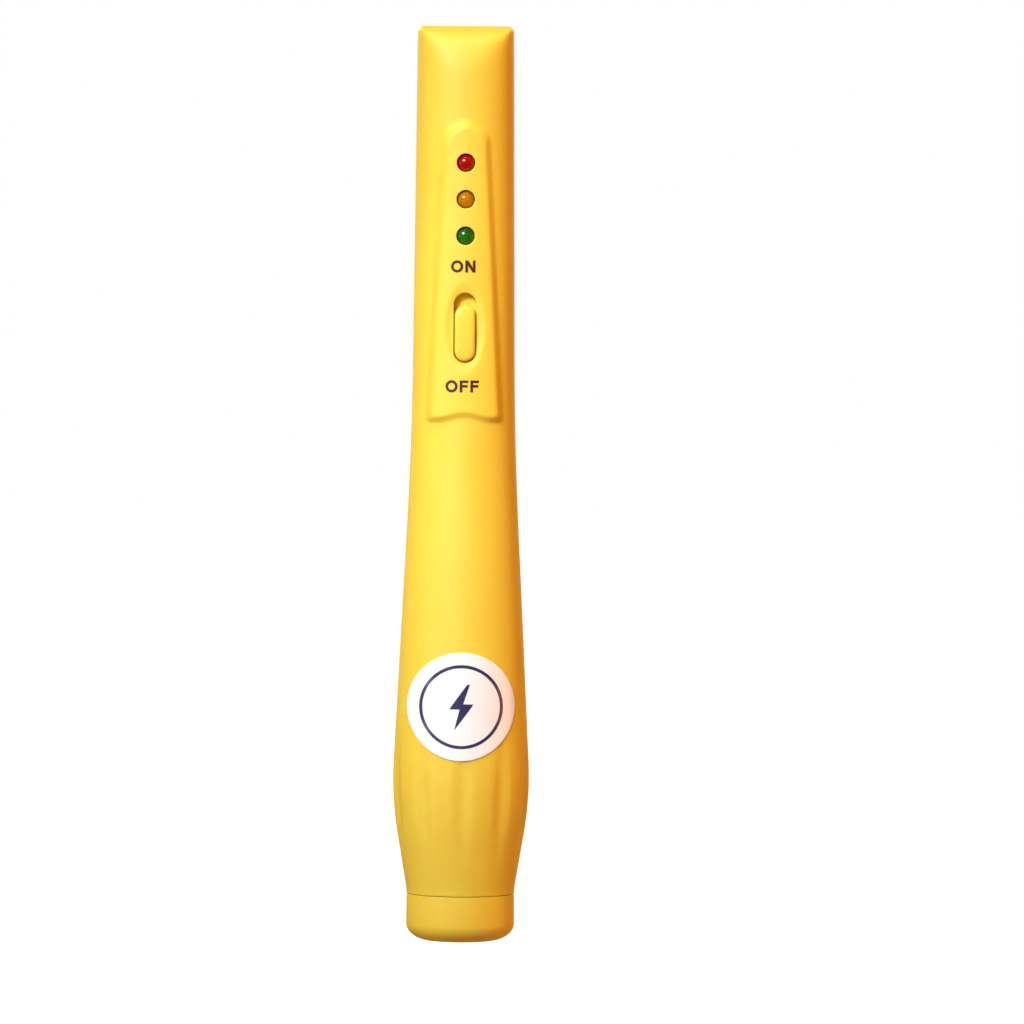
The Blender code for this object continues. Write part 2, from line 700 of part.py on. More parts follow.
def tail_cap():
    """The cap: a round-edged cup with a spigot that plugs into the neck."""
    foot = NECK_RADIUS - TOUCH_GAP / 6
    edge = arc((foot - CAP_DRAFT - CAP_EDGE, CAP_EDGE), CAP_EDGE, 0, -90, 6)
    profile = [(0, CAP_FLOOR), (SPIGOT_BORE, CAP_FLOOR), (SPIGOT_BORE, SPIGOT_TOP)]
    profile += [(SPIGOT_RADIUS - 0.4 * MM, SPIGOT_TOP), (SPIGOT_RADIUS, SPIGOT_TOP - 0.6 * MM)]
    profile += [(SPIGOT_RADIUS, CAP_HEIGHT), (foot, CAP_HEIGHT)] + edge + [(0, 0)]
    return turned("tail_cap", profile, CASING_STEPS)


def cap_contact():
    """The disc in the cap with a tab up the side, which meets the long strip."""
    radius = SPIGOT_BORE - SLIDE_GAP
    disc = rods("cap_contact", [((0, 0, PLATE_Z), (0, 0, PLATE_Z + SHEET_THICKNESS))],
                radius, ROUND_STEPS)
    half = STRIP_WIDTH / 2
    tab = box(
        "cap_tab",
        (-half, TAB_Y, PLATE_Z + SHEET_THICKNESS / 4),
        (half, TAB_Y + SHEET_THICKNESS, SPIGOT_TOP - TOUCH_GAP),
    )
    return boolean(disc, "UNION", tab)


def battery_spring():
    """The conical spring, as a helix whose radius narrows towards the cell."""
    curve = bpy.data.curves.new("battery_spring", "CURVE")
    curve.dimensions = "3D"
    curve.bevel_depth = SPRING_WIRE
    curve.bevel_resolution = 2
    curve.use_fill_caps = True
    per_turn = 14
    count = SPRING_TURNS * per_turn + 1
    spline = curve.splines.new("POLY")
    spline.points.add(count - 1)
    base = CELL_RADIUS - 2 * SPRING_WIRE
    rise = SPRING_HEIGHT - 2 * SPRING_WIRE
    for i, point in enumerate(spline.points):
        share = i / (count - 1)
        angle = math.tau * i / per_turn
        radius = base + (SPRING_TOP_RADIUS - base) * share
        z = SPRING_Z + SPRING_WIRE + rise * share
        point.co = (radius * math.cos(angle), radius * math.sin(angle), z, 1)
    spring = bpy.data.objects.new("battery_spring", curve)
    CUTTERS.objects.link(spring)
    return spring


def cell(name, index):
    low = CELL_Z + index * (CELL_LENGTH + TOUCH_GAP)
    shoulder = low + CELL_LENGTH - NUB_HEIGHT
    profile = [
        (0, low + CELL_LENGTH),
        (NUB_RADIUS, low + CELL_LENGTH),
        (NUB_RADIUS, shoulder),
        (CELL_RADIUS - CELL_EDGE, shoulder),
        (CELL_RADIUS, shoulder - CELL_EDGE),
        (CELL_RADIUS, low + CELL_EDGE),
        (CELL_RADIUS - CELL_EDGE, low),
        (0, low),
    ]
    return turned(name, profile, ROUND_STEPS)


def negative_strip():
    """The long strip behind the cells, from the cap's tab up to a foot on the board's back."""
    half = STRIP_WIDTH / 2
    low = SPIGOT_TOP - STRIP_BITE
    corner = BOARD_Z + TOUCH_GAP
    strip = box("negative_strip", (-half, STRIP_Y, low), (half, STRIP_Y + SHEET_THICKNESS, corner))
    arm = box("strip_arm", (-half, TOUCH_GAP, corner - SHEET_THICKNESS),
              (half, STRIP_Y + SHEET_THICKNESS, corner))
    foot = box("strip_foot", (-half, TOUCH_GAP, corner - SHEET_THICKNESS),
               (half, TOUCH_GAP + SHEET_THICKNESS, BOARD_Z + STRIP_WIDTH))
    return boolean(strip, "UNION", arm, foot)


def positive_contact():
    """The plate on the upper cell's nub, with a tab that stands up to the board's front."""
    half = CELL_RADIUS * 0.7
    leaf = box("positive_contact", (-half, -half, CONTACT_Z), (half, half, CONTACT_Z + SHEET_THICKNESS))
    front = BOARD_FRONT - TOUCH_GAP
    tab = box(
        "contact_tab",
        (-STRIP_WIDTH / 2, front - SHEET_THICKNESS, CONTACT_Z),
        (STRIP_WIDTH / 2, front, BOARD_Z + 1.6 * MM),
    )
    return boolean(leaf, "UNION", tab)


# Board and its parts


def circuit_board():
    half = BOARD_WIDTH / 2
    board = box("circuit_board", (-half, BOARD_FRONT, BOARD_Z), (half, 0, BOARD_TOP))
    screw = SCREW_RADIUS + HOLE_PLAY
    boolean(board, "DIFFERENCE", through_board("board_screw_hole", [(0, MIDDLE_SCREW_Z)], screw, SMALL_STEPS))
    legs = [(side * LEG_SPACING / 2, z) for z in LAMP_Z for side in (-1, 1)]
    boolean(board, "DIFFERENCE", through_board("leg_holes", legs, LEG_RADIUS + HOLE_PLAY, PIN_STEPS))
    pins = [(0, SWITCH_Z + step * PIN_PITCH) for step in (-1, 0, 1)]
    return boolean(board, "DIFFERENCE",
                   through_board("pin_holes", pins, PIN_RADIUS + HOLE_PLAY, PIN_STEPS))


def through_board(name, places, radius, steps):
    spans = [((x, BOARD_FRONT - PAST, z), (x, PAST, z)) for x, z in places]
    return rods(name, spans, radius, steps)


def lamp(name, z):
    """An LED: a domed lens on a flange, with two legs through the board."""
    tip = front_at(z) - LAMP_RECESS
    base = tip - LAMP_LENGTH
    dome = arc((0, tip - LAMP_RADIUS), LAMP_RADIUS, 90, 0, 5)
    profile = dome + [
        (LAMP_RADIUS, base + LAMP_FLANGE),
        (LAMP_FLANGE_RADIUS, base + LAMP_FLANGE),
        (LAMP_FLANGE_RADIUS, base),
        (0, base),
    ]
    profile[0] = (0, tip)
    lens = turned(name, profile, SMALL_STEPS + 4)
    lens.matrix_world = Matrix.Translation((0, 0, z)) @ Matrix.Rotation(math.pi / 2, 4, "X")
    spans = []
    for side in (-1, 1):
        x = side * LEG_SPACING / 2
        spans.append(((x, -base - OVERLAP, z), (x, PIN_TAIL, z)))
    return boolean(lens, "UNION", rods(name + "_legs", spans, LEG_RADIUS, PIN_STEPS))


def switch_levels():
    """Depths of the switch's pieces in front of the board, as positive distances from y = 0."""
    base_low = BOARD_THICKNESS + TOUCH_GAP
    flange_edge = radius_at(SWITCH_Z + KNOB_LENGTH) - WALL
    half = knob_flange_width() / 2
    flange_top = math.sqrt(flange_edge**2 - half**2) - SLIDE_GAP
    can_top = flange_top - FLANGE_THICKNESS - CAN_CLEARANCE
    head_top = front_at(SWITCH_Z) + KNOB_PROUD
    return base_low, can_top, flange_top, head_top


def knob_flange_width():
    return KNOB_WIDTH + 2 * FLANGE_MARGIN


def knob_z():
    """The knob's middle at rest, in the lower, off position."""
    return SWITCH_Z - SWITCH_TRAVEL / 2


def switch_base():
    """The switch's insulating base with its three pins through the board."""
    base_low = switch_levels()[0]
    half_width = CAN_WIDTH / 2 - CAN_SHEET - TOUCH_GAP
    half_length = CAN_LENGTH / 2 - CAN_SHEET - TOUCH_GAP
    base = box(
        "switch_base",
        (-half_width, -base_low - BASE_THICKNESS, SWITCH_Z - half_length),
        (half_width, -base_low, SWITCH_Z + half_length),
    )
    spans = []
    for step in (-1, 0, 1):
        z = SWITCH_Z + step * PIN_PITCH
        spans.append(((0, -base_low - BASE_THICKNESS / 2, z), (0, PIN_TAIL, z)))
    return boolean(base, "UNION", rods("switch_pins", spans, PIN_RADIUS, PIN_STEPS))


def switch_can():
    """The folded metal can of the switch, open below, with a window for the lever."""
    base_low, can_top, _, _ = switch_levels()
    half = (CAN_WIDTH / 2, CAN_LENGTH / 2)
    can = box("switch_can", (-half[0], -can_top, SWITCH_Z - half[1]),
              (half[0], -base_low, SWITCH_Z + half[1]))
    inner = (half[0] - CAN_SHEET, half[1] - CAN_SHEET)
    hollow = box("can_hollow", (-inner[0], -can_top + CAN_SHEET, SWITCH_Z - inner[1]),
                 (inner[0], PAST - base_low, SWITCH_Z + inner[1]))
    reach = LEVER_SIZE / 2 + SLIDE_GAP
    window = box("can_window", (-reach, -can_top - PAST, SWITCH_Z - reach - SWITCH_TRAVEL / 2),
                 (reach, -can_top + PAST / 2, SWITCH_Z + reach + SWITCH_TRAVEL / 2))
    return boolean(can, "DIFFERENCE", hollow, window)


def switch_lever():
    """The lever that the knob pushes: a square stem on a wider foot inside the can."""
    _, can_top, flange_top, head_top = switch_levels()
    z = knob_z()
    half = LEVER_SIZE / 2
    foot = LEVER_FOOT / 2
    foot_top = can_top - CAN_SHEET - SLIDE_GAP
    stem_top = pocket_top(flange_top, head_top) - TOUCH_GAP
    stem = box("switch_lever", (-half, -stem_top, z - half), (half, -foot_top + OVERLAP / 2, z + half))
    plinth = box(
        "lever_foot",
        (-foot, -foot_top, z - foot),
        (foot, -foot_top + LEVER_FOOT_THICKNESS, z + foot),
    )
    return boolean(stem, "UNION", plinth)


def pocket_top(flange_top, head_top):
    """How far the lever's pocket reaches up inside the knob."""
    return flange_top + 0.5 * (head_top - flange_top)


def switch_knob():
    """The sliding knob: a rounded head in the slot, a hidden flange, and a pocket for the lever."""
    _, _, flange_top, head_top = switch_levels()
    z = knob_z()
    low = flange_top - FLANGE_THICKNESS
    head_low = flange_top - FLANGE_THICKNESS / 2
    head = plate("switch_knob", stadium(KNOB_WIDTH, KNOB_LENGTH, z), head_top - head_low,
                 facing_front(-(head_top + head_low) / 2))
    bevel(head, KNOB_EDGE, 3, angle=50)
    half = (knob_flange_width() / 2, KNOB_LENGTH / 2 + FLANGE_REACH)
    flange = box("knob_flange", (-half[0], -flange_top, z - half[1]), (half[0], -low, z + half[1]))
    boolean(head, "UNION", flange)
    reach = LEVER_SIZE / 2 + TOUCH_GAP
    pocket = box("lever_pocket", (-reach, -pocket_top(flange_top, head_top), z - reach),
                 (reach, PAST - low, z + reach))
    return boolean(head, "DIFFERENCE", pocket)


def logic_chip():
    """The logic chip on the board's back, with its bent legs."""
    z = (SWITCH_Z + PIN_PITCH + MIDDLE_SCREW_Z - SCREW_RADIUS - BOSS_WALL) / 2
    half = (CHIP_WIDTH / 2, CHIP_LENGTH / 2)
    low = 2 * TOUCH_GAP
    body = box("logic_chip", (-half[0], low, z - half[1]), (half[0], low + CHIP_HEIGHT, z + half[1]))
    bevel(body, 0.25 * MM, 1)
    for i in range(CHIP_LEGS_PER_SIDE):
        leg_z = z + (i - (CHIP_LEGS_PER_SIDE - 1) / 2) * CHIP_LEG_PITCH
        reach = half[0] + CHIP_LEG_REACH
        across = box(
            f"chip_leg_{i}",
            (-reach, low + 0.5 * MM, leg_z - CHIP_LEG_WIDTH / 2),
            (reach, low + 0.7 * MM, leg_z + CHIP_LEG_WIDTH / 2),
        )
        feet = [
            box(
                f"chip_foot_{i}_{side}",
                (side * reach - 0.2 * MM, TOUCH_GAP, leg_z - CHIP_LEG_WIDTH / 2),
                (side * reach + 0.2 * MM, low + 0.7 * MM, leg_z + CHIP_LEG_WIDTH / 2),
            )
            for side in (-1, 1)
        ]
        boolean(body, "UNION", across, *feet)
    return body


def sounder():
    """The round sounder, raised on its two pins behind the lamps."""
    z = LAMP_Z[1]
    high = SOUNDER_STAND + SOUNDER_HEIGHT
    can = rods("sounder", [((0, SOUNDER_STAND, z), (0, high, z))], SOUNDER_RADIUS, ROUND_STEPS)
    bevel(can, 0.3 * MM, 1, angle=60)
    hole = [((0, high - MM, z), (0, high + PAST, z))]
    boolean(can, "DIFFERENCE", rods("sound_hole", hole, SOUNDER_HOLE, SMALL_STEPS))
    reach = 0.7 * SOUNDER_RADIUS
    pins = [((0, TOUCH_GAP, z + side * reach), (0, SOUNDER_STAND + OVERLAP, z + side * reach))
            for side in (-1, 1)]
    return boolean(can, "UNION", rods("sounder_pins", pins, LEG_RADIUS, PIN_STEPS))


def capacitor():
    z = BOARD_TOP - CAPACITOR_RADIUS - 0.6 * MM
    x = -0.5 * CAPACITOR_RADIUS
    span = [((x, TOUCH_GAP, z), (x, TOUCH_GAP + CAPACITOR_HEIGHT, z))]
    can = rods("capacitor", span, CAPACITOR_RADIUS, SMALL_STEPS + 4)
    return bevel(can, 0.25 * MM, 1, angle=60)


def chip_part(name, size, x, z, front):
    """A small rectangular part on the board's front or back."""
    depth = BOARD_FRONT - TOUCH_GAP - size[1] if front else TOUCH_GAP
    low = (x - size[0] / 2, depth, z - size[2] / 2)
    return box(name, low, [low[k] + size[k] for k in range(3)])


def sensor_plate():
    """The sensing plate across the tip, with a leg past the screw boss down to the board."""
    half = SENSOR_WIDTH / 2
    head_low = TIP_SCREW_Z + SCREW_RADIUS + BOSS_WALL + 0.8 * MM
    head_high = head_low + SENSOR_HEIGHT
    foot = BOARD_TOP - 2.4 * MM
    outline = [
        (half, head_high - MM),
        (half - MM, head_high),
        (MM - half, head_high),
        (-half, head_high - MM),
        (-half, head_low),
        (half - SENSOR_LEG, head_low),
        (half - SENSOR_LEG, foot),
        (half, foot),
    ]
    depth = TOUCH_GAP + SHEET_THICKNESS / 2
    return plate("sensor_plate", outline, SHEET_THICKNESS, facing_front(depth))


def round_label():
    """The round label, wrapped on the front of the grip."""
    high = LABEL_Z + LABEL_RADIUS + PAST
    low = LABEL_Z - LABEL_RADIUS - PAST
    stations = [high - (high - low) * i / 6 for i in range(7)]
    outside = [(radius_at(z) + LABEL_LIFT + LABEL_THICKNESS, z) for z in stations]
    inside = [(radius_at(z) + LABEL_LIFT, z) for z in reversed(stations)]
    band = turned("round_label", outside + inside, 2 * CASING_STEPS, closed=True)
    punch = rods("label_punch", [((0, -GRIP_RADIUS - PAST, LABEL_Z), (0, -PAST, LABEL_Z))],
                 LABEL_RADIUS, CASING_STEPS)
    return boolean(band, "INTERSECT", punch)


def empty(name, place):
    made = bpy.data.objects.new(name, None)
    PARTS.objects.link(made)
    made.location = place
    bpy.context.view_layer.update()
    return made


def build():
    yellow = material("yellow_abs", (0.93, 0.62, 0.04), 0.42)
    brass = material("brass", (0.74, 0.55, 0.25), 0.3, 1.0)
    nickel = material("nickel_steel", (0.62, 0.61, 0.58), 0.3, 1.0)
    jacket = material("cell_jacket", (0.05, 0.06, 0.08), 0.35)
    resist = material("green_board", (0.02, 0.2, 0.07), 0.45)
    black = material("black_moulding", (0.02, 0.02, 0.022), 0.5)
    amber_board = material("switch_base", (0.35, 0.16, 0.05), 0.6)
    white = material("label_white", (0.9, 0.9, 0.9), 0.35)
    lenses = {
        "lamp_green": material("green_lens", (0.01, 0.25, 0.03), 0.15),
        "lamp_amber": material("amber_lens", (0.75, 0.32, 0.01), 0.15),
        "lamp_red": material("red_lens", (0.5, 0.005, 0.005), 0.15),
    }

    slider = empty("slider_axis", (0, -front_at(SWITCH_Z), knob_z()))
    cap = empty("cap_axis", (0, 0, 0))

    finish(front_shell(), yellow)
    finish(rear_shell(), yellow)
    finish(round_label(), white)
    finish(case_screw("case_screw_middle", MIDDLE_SCREW_Z, -radius_at(MIDDLE_SCREW_Z) + WALL + MM), nickel)
    finish(case_screw("case_screw_tip", TIP_SCREW_Z, -radius_at(TIP_SCREW_Z) + WALL + MM), nickel)

    finish(tail_cap(), yellow, cap)
    finish(cap_contact(), brass, cap)
    finish(battery_spring(), nickel, cap)
    finish(cell("cell_lower", 0), jacket)
    finish(cell("cell_upper", 1), jacket)
    finish(negative_strip(), brass)
    finish(positive_contact(), brass)

    finish(circuit_board(), resist)
    finish(sensor_plate(), brass)
    finish(switch_base(), amber_board)
    finish(switch_can(), nickel)
    finish(switch_lever(), black, slider)
    finish(switch_knob(), yellow, slider)
    for (name, surface), z in zip(lenses.items(), LAMP_Z):
        finish(lamp(name, z), surface)
    finish(logic_chip(), black)
    finish(sounder(), black)
    finish(capacitor(), nickel)
    side = BOARD_WIDTH / 2 - RESISTOR_SIZE[0] / 2 - 0.6 * MM
    for index, z in enumerate(LAMP_Z):
        finish(chip_part(f"resistor_{index + 1}", RESISTOR_SIZE, side, z, front=True), black)
    finish(chip_part("resistor_4", RESISTOR_SIZE, -side, LAMP_Z[0], front=True), black)
    finish(chip_part("transistor", TRANSISTOR_SIZE, -side, BOARD_TOP - 3 * MM, front=True), black)


for old in list(bpy.data.objects):
    bpy.data.objects.remove(old)
PARTS = collection("voltage_tester")
CUTTERS = collection("cutters")
build()
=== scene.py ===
# %% [markdown]
# # A non-contact voltage tester
# An electrician holds this pen near a wire, and its lamps light if the wire is live. It is a yellow
# moulded casing of two halves, with a chisel tip, three lamps, a slide switch, a fluted grip and a
# cap over its two cells.
# The measured model of the tester is loaded first and stays fixed. Every visible surface is then
# drawn in detail on top of it, in the same place and at the same size.

import math

import bmesh
import bpy
import numpy as np
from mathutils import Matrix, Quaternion, Vector


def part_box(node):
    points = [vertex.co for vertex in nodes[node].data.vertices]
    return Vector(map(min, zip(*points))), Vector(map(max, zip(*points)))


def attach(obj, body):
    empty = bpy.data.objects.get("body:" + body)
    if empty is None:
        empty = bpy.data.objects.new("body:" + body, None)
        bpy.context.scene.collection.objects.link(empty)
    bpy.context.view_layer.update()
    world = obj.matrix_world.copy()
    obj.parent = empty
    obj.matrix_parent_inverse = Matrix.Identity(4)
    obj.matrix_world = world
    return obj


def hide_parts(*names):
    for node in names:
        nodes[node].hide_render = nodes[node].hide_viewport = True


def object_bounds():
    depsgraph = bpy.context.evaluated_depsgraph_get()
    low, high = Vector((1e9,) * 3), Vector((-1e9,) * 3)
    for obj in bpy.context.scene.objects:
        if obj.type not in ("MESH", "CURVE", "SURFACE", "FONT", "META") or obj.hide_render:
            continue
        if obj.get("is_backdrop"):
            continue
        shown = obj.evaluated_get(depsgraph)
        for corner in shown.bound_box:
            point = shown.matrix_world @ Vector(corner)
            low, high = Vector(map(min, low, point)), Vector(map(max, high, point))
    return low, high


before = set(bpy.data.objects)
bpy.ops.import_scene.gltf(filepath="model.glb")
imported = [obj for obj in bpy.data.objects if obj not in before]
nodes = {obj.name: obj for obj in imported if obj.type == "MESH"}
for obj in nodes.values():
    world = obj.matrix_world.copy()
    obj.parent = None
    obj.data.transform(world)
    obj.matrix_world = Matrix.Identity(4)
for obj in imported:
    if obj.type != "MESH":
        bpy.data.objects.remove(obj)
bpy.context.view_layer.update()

# %% [markdown]
# ## Helpers
# All shapes here are worked out in millimetres, as whole arrays, and turned to metres only when
# they become a mesh. A shape is a grid of points, so one function can give the faces of them all.

# %% From arrays to meshes
MM = 0.001


def box(node):
    """Lowest and highest corner of a measured piece, in millimetres."""
    low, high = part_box(node)
    return np.array(low) / MM, np.array(high) / MM


def grid_faces(rows, columns, closed=False, start=0):
    """Four-sided faces of a grid stored row by row. closed joins the last column to the first."""
    row = np.arange(rows - 1)[:, None]
    column = np.arange(columns if closed else columns - 1)[None, :]
    after = (column + 1) % columns
    corners = (
        row * columns + column,
        row * columns + after,
        (row + 1) * columns + after,
        (row + 1) * columns + column,
    )
    return start + np.stack(corners, axis=-1).reshape(-1, 4)


def make_object(name, points, faces, sharp=35, weld=0.0005):
    """A mesh object from points in millimetres, welded, facing outwards and shaded smooth."""
    mesh = bpy.data.meshes.new(name)
    mesh.from_pydata((np.reshape(points, (-1, 3)) * MM).tolist(), [], faces.tolist())
    tidy_mesh(mesh, weld)
    smooth(mesh, sharp)
    made = bpy.data.objects.new(name, mesh)
    bpy.context.scene.collection.objects.link(made)
    return made


def tidy_mesh(mesh, weld):
    """Welds points that coincide, drops faces that collapse, and turns the rest outwards."""
    work = bmesh.new()
    work.from_mesh(mesh)
    bmesh.ops.remove_doubles(work, verts=work.verts, dist=weld * MM)
    bmesh.ops.dissolve_degenerate(work, edges=work.edges, dist=weld * MM / 10)
    bmesh.ops.recalc_face_normals(work, faces=work.faces)
    work.to_mesh(mesh)
    work.free()


def smooth(mesh, sharp):
    mesh.shade_smooth()
    mesh.set_sharp_from_angle(angle=math.radians(sharp))


def join(name, *parts):
    """Several closed shapes as one object."""
    work = bmesh.new()
    for part in parts:
        work.from_mesh(part.data)
    mesh = bpy.data.meshes.new(name)
    work.to_mesh(mesh)
    work.free()
    for part in parts:
        bpy.data.objects.remove(part)
    smooth(mesh, 35)
    made = bpy.data.objects.new(name, mesh)
    bpy.context.scene.collection.objects.link(made)
    return made


print("a closed grid of 3 rows of 4 points has", len(grid_faces(3, 4, closed=True)), "faces")

# %% [markdown]
# A turned shape is a profile of radius and height spun about an axis. A thick sheet is two grids,
# outside and inside, joined along their edges. Most of the tester is one or the other.

# %% Turned shapes and thick sheets


def turned(name, profile, steps=64, front=None, ring=False, sharp=35):
    """A profile of (radius, height) spun about Z. With front=(x, z) it is spun about -Y there.

    Point = (radius cos t, radius sin t, height), for t round the whole circle.
    """
    profile = np.asarray(profile, float)
    if ring:
        profile = np.vstack([profile, profile[:1]])
    t = np.linspace(0, math.tau, steps, endpoint=False)
    radius, height = profile[:, :1], profile[:, 1:] + 0 * t
    points = np.stack([radius * np.cos(t), radius * np.sin(t), height], axis=-1)
    if front is not None:
        x, z = front
        points = np.stack([x + points[..., 0], -points[..., 2], z + points[..., 1]], axis=-1)
    return make_object(name, points, grid_faces(len(profile), steps, closed=True), sharp)


def thick_sheet(name, outside, inside, sharp=35):
    """Two grids of the same shape as the two faces of a sheet, closed all along their edges."""
    rows, columns = outside.shape[:2]
    top = np.arange(rows * columns).reshape(rows, columns)
    below = top + rows * columns
    around = np.concatenate([top[0], top[1:, -1], top[-1, -2::-1], top[-2:0:-1, 0]])
    under = around + rows * columns
    rim = np.stack([around, np.roll(around, -1), np.roll(under, -1), under], axis=-1)
    faces = np.vstack([grid_faces(rows, columns), grid_faces(rows, columns, start=below[0, 0]), rim])
    return make_object(name, np.stack([outside, inside]), faces, sharp)


def arc(centre, radius, start, end, count=8):
    """Points on an arc of (radius, height), with angles in degrees."""
    t = np.radians(np.linspace(start, end, count))
    return np.stack([centre[0] + radius * np.cos(t), centre[1] + radius * np.sin(t)], axis=-1)


def soft_min(a, b, width):
    """The smaller of a and b, with a rounded corner of that width where they cross."""
    share = np.clip(0.5 + 0.5 * (b - a) / width, 0, 1)
    return b * (1 - share) + a * share - width * share * (1 - share)


def ramp(value, low, high):
    """0 below low, 1 above high, and a smooth S between them."""
    t = np.clip((value - low) / (high - low), 0, 1)
    return t * t * (3 - 2 * t)


print("where two surfaces cross at 1 mm, a soft corner 0.4 mm wide stands at", soft_min(1.0, 1.0, 0.4), "mm")

# %% [markdown]
# ## The casing's shape
# The casing is round in section. It is narrow at the neck, widest at the grip, narrows again to the
# waist, and runs almost straight up to the tip. Straight runs with rounded corners give that
# outline. The heights come from the measured pieces.

# %% Outline of the casing
shell_low, shell_high = box("front_shell")
cap_high = box("tail_cap")[1]
knob_low, knob_high = box("switch_knob")
SEAM = shell_low[2] - 0.22
TIP = shell_high[2] - 0.02
NOSE = TIP - 12.0
WAIST_Z, GRIP_Z = 87.4, 25.2
# The measured cap is a polygon of 48 sides, so its flat sides are a little nearer than its radius.
NECK = cap_high[0] / math.cos(math.pi / 48) + 0.02

# Each corner of the outline is (radius, height): neck, grip, waist and tip.
corners = np.array([[NECK, 9.2], [12.15, GRIP_Z], [8.98, WAIST_Z], [8.42, TIP + 0.2]])


def rounded(before, corner, after, reach, count=24):
    """A corner rounded by a parabola that starts and ends at that distance in height."""
    t = np.linspace(0, 1, count)[:, None]
    start = corner + (before - corner) * reach / abs(before[1] - corner[1])
    end = corner + (after - corner) * reach / abs(after[1] - corner[1])
    return (1 - t) ** 2 * start + 2 * t * (1 - t) * corner + t**2 * end


outline = np.vstack(
    [
        [[NECK, SEAM]],
        rounded(np.array([NECK, SEAM]), corners[0], corners[1], 0.7),
        rounded(corners[0], corners[1], corners[2], 6.5),
        rounded(corners[1], corners[2], corners[3], 15.0),
        [corners[3]],
    ]
)


def fall_back(gap, radius):
    """How far a rounded edge of that radius falls back, at each distance from the edge."""
    left = np.clip(radius - gap, 0, radius)
    return radius - np.sqrt(np.clip(radius**2 - left**2, 0, None))


def casing_radius(z):
    """Outer radius at each height, with the rounded edge at the tip and at the seam."""
    radius = np.interp(z, outline[:, 1], outline[:, 0])
    return radius - fall_back(TIP + 0.06 - z, 1.1) - fall_back(z - SEAM, 0.14)


NOSE_DEPTH = 10.5


def nose_half(z):
    """Half the thickness of the chisel tip: half an ellipse above NOSE, and out of the way below."""
    up = np.clip((z - NOSE) / (TIP - NOSE), 0, 1)
    return NOSE_DEPTH * np.sqrt(1 - up**2) + 0.02 * np.clip(NOSE - z, 0, 40) ** 2


def body_depth(x, z):
    """How far the casing's plain surface stands in front of its axis, at each x and height.

    Depth = (round^-6 + nose^-6)^(-1/6): the smaller of the two, with one soft turn between them.
    """
    around = np.sqrt(np.clip(casing_radius(z) ** 2 - x**2, 1e-6, None))
    ahead = np.clip(nose_half(z), 1e-3, None)
    return (around**-6.0 + ahead**-6.0) ** (-1 / 6.0)


print("casing radius at grip and waist, mm:", np.round(casing_radius(np.array([GRIP_Z, WAIST_Z])), 2))

# %% [markdown]
# ## The raised panel, the scoop and the flutes
# The lamps and the switch sit on a raised panel in the form of a spade, with a pointed head, sides
# that spread downwards and a foot like a shallow wave. Its face is flatter than the casing. A
# second mesh laid on the first would leave a hard line, so the panel is a height that is blended
# over the plain surface inside the panel's outline, which gives the soft edge of a moulding.

# %% Height of the front surface
PANEL_TOP, PANEL_SHOULDER, PANEL_FOOT = 143.6, 139.9, 91.7
PANEL_HEIGHT, FLATTER = 0.58, 1.12
SCOOP_DEPTH = 0.5
# The knob rests at the low end of its 2 mm of travel, so the slot's middle is 1 mm higher.
SWITCH = (knob_low[2] + knob_high[2]) / 2 + 1.0


def panel_half_width(z):
    """Half the panel's width: it grows evenly from the shoulders down to the foot."""
    return np.clip(3.95 + (PANEL_SHOULDER - z) * 0.0515, 3.3, 6.75)


def panel_inside(x, z):
    """Distance inside the panel's outline, in mm: the least of that to its sides, head and foot."""
    side = panel_half_width(z) - np.abs(x)
    head = 0.72 * (PANEL_TOP - z) - 0.416 * np.sqrt(x**2 + 0.3)
    foot = z - PANEL_FOOT - 0.45 * np.cos(x * math.pi / 5.0)
    return soft_min(soft_min(side, head, 1.3), foot, 0.8)


def scoop(x, z):
    """Depth of the shallow finger scoop round the slot, an oval dish with a soft edge."""
    reach = np.sqrt((x / 3.75) ** 2 + ((z - SWITCH) / 8.3) ** 2)
    return SCOOP_DEPTH * (1 - ramp(reach, 0.62, 1.0))


def front_depth(x, z):
    """The finished front surface: the plain casing, the panel blended over it, less the scoop."""
    plain = body_depth(x, z)
    high = casing_radius(z) + PANEL_HEIGHT
    face = high * np.sqrt(np.clip(1 - (x / (FLATTER * high)) ** 2, 0, 1))
    share = ramp(panel_inside(x, z), -0.55, 0.95)
    return plain + share * (np.maximum(face, plain) - plain) - scoop(x, z)


FLUTES = 10
FLUTE_FLOOR, FLUTE_LEAN = 11.36, math.radians(3.2)
FLUTE_EDGE = 0.75


def flute_drop(turn, z):
    """Depth of the grip's flutes: ten leaning rods, 2 mm in radius, pressed into the casing.

    A rod's bottom stands at radius FLUTE_FLOOR at the grip and leans outwards with height. To its
    side it rises as aside^2 / 4, which is the start of a circle of 2 mm.
    """
    radius = casing_radius(z)
    floor = FLUTE_FLOOR + math.tan(FLUTE_LEAN) * (z - GRIP_Z)
    pitch = math.tau / FLUTES
    aside = (np.mod(turn + pitch / 2, pitch) - pitch / 2) * radius
    drop = radius - floor - aside**2 / 4.0
    return -soft_min(-drop, 0 * drop, FLUTE_EDGE)


print("switch middle at", round(float(SWITCH), 2), "panel face at", round(float(front_depth(0.0, 125.0)), 2))

# %% [markdown]
# ## The two shells
# The real casing is moulded as two halves that meet along its sides, held by two screws from the
# back. Each half here is a thick sheet: a grid over its outside, a grid over its inside, and the
# edges between them. The columns of the front half follow the panel's sides, so the panel's edge
# runs along the mesh and stays clean.

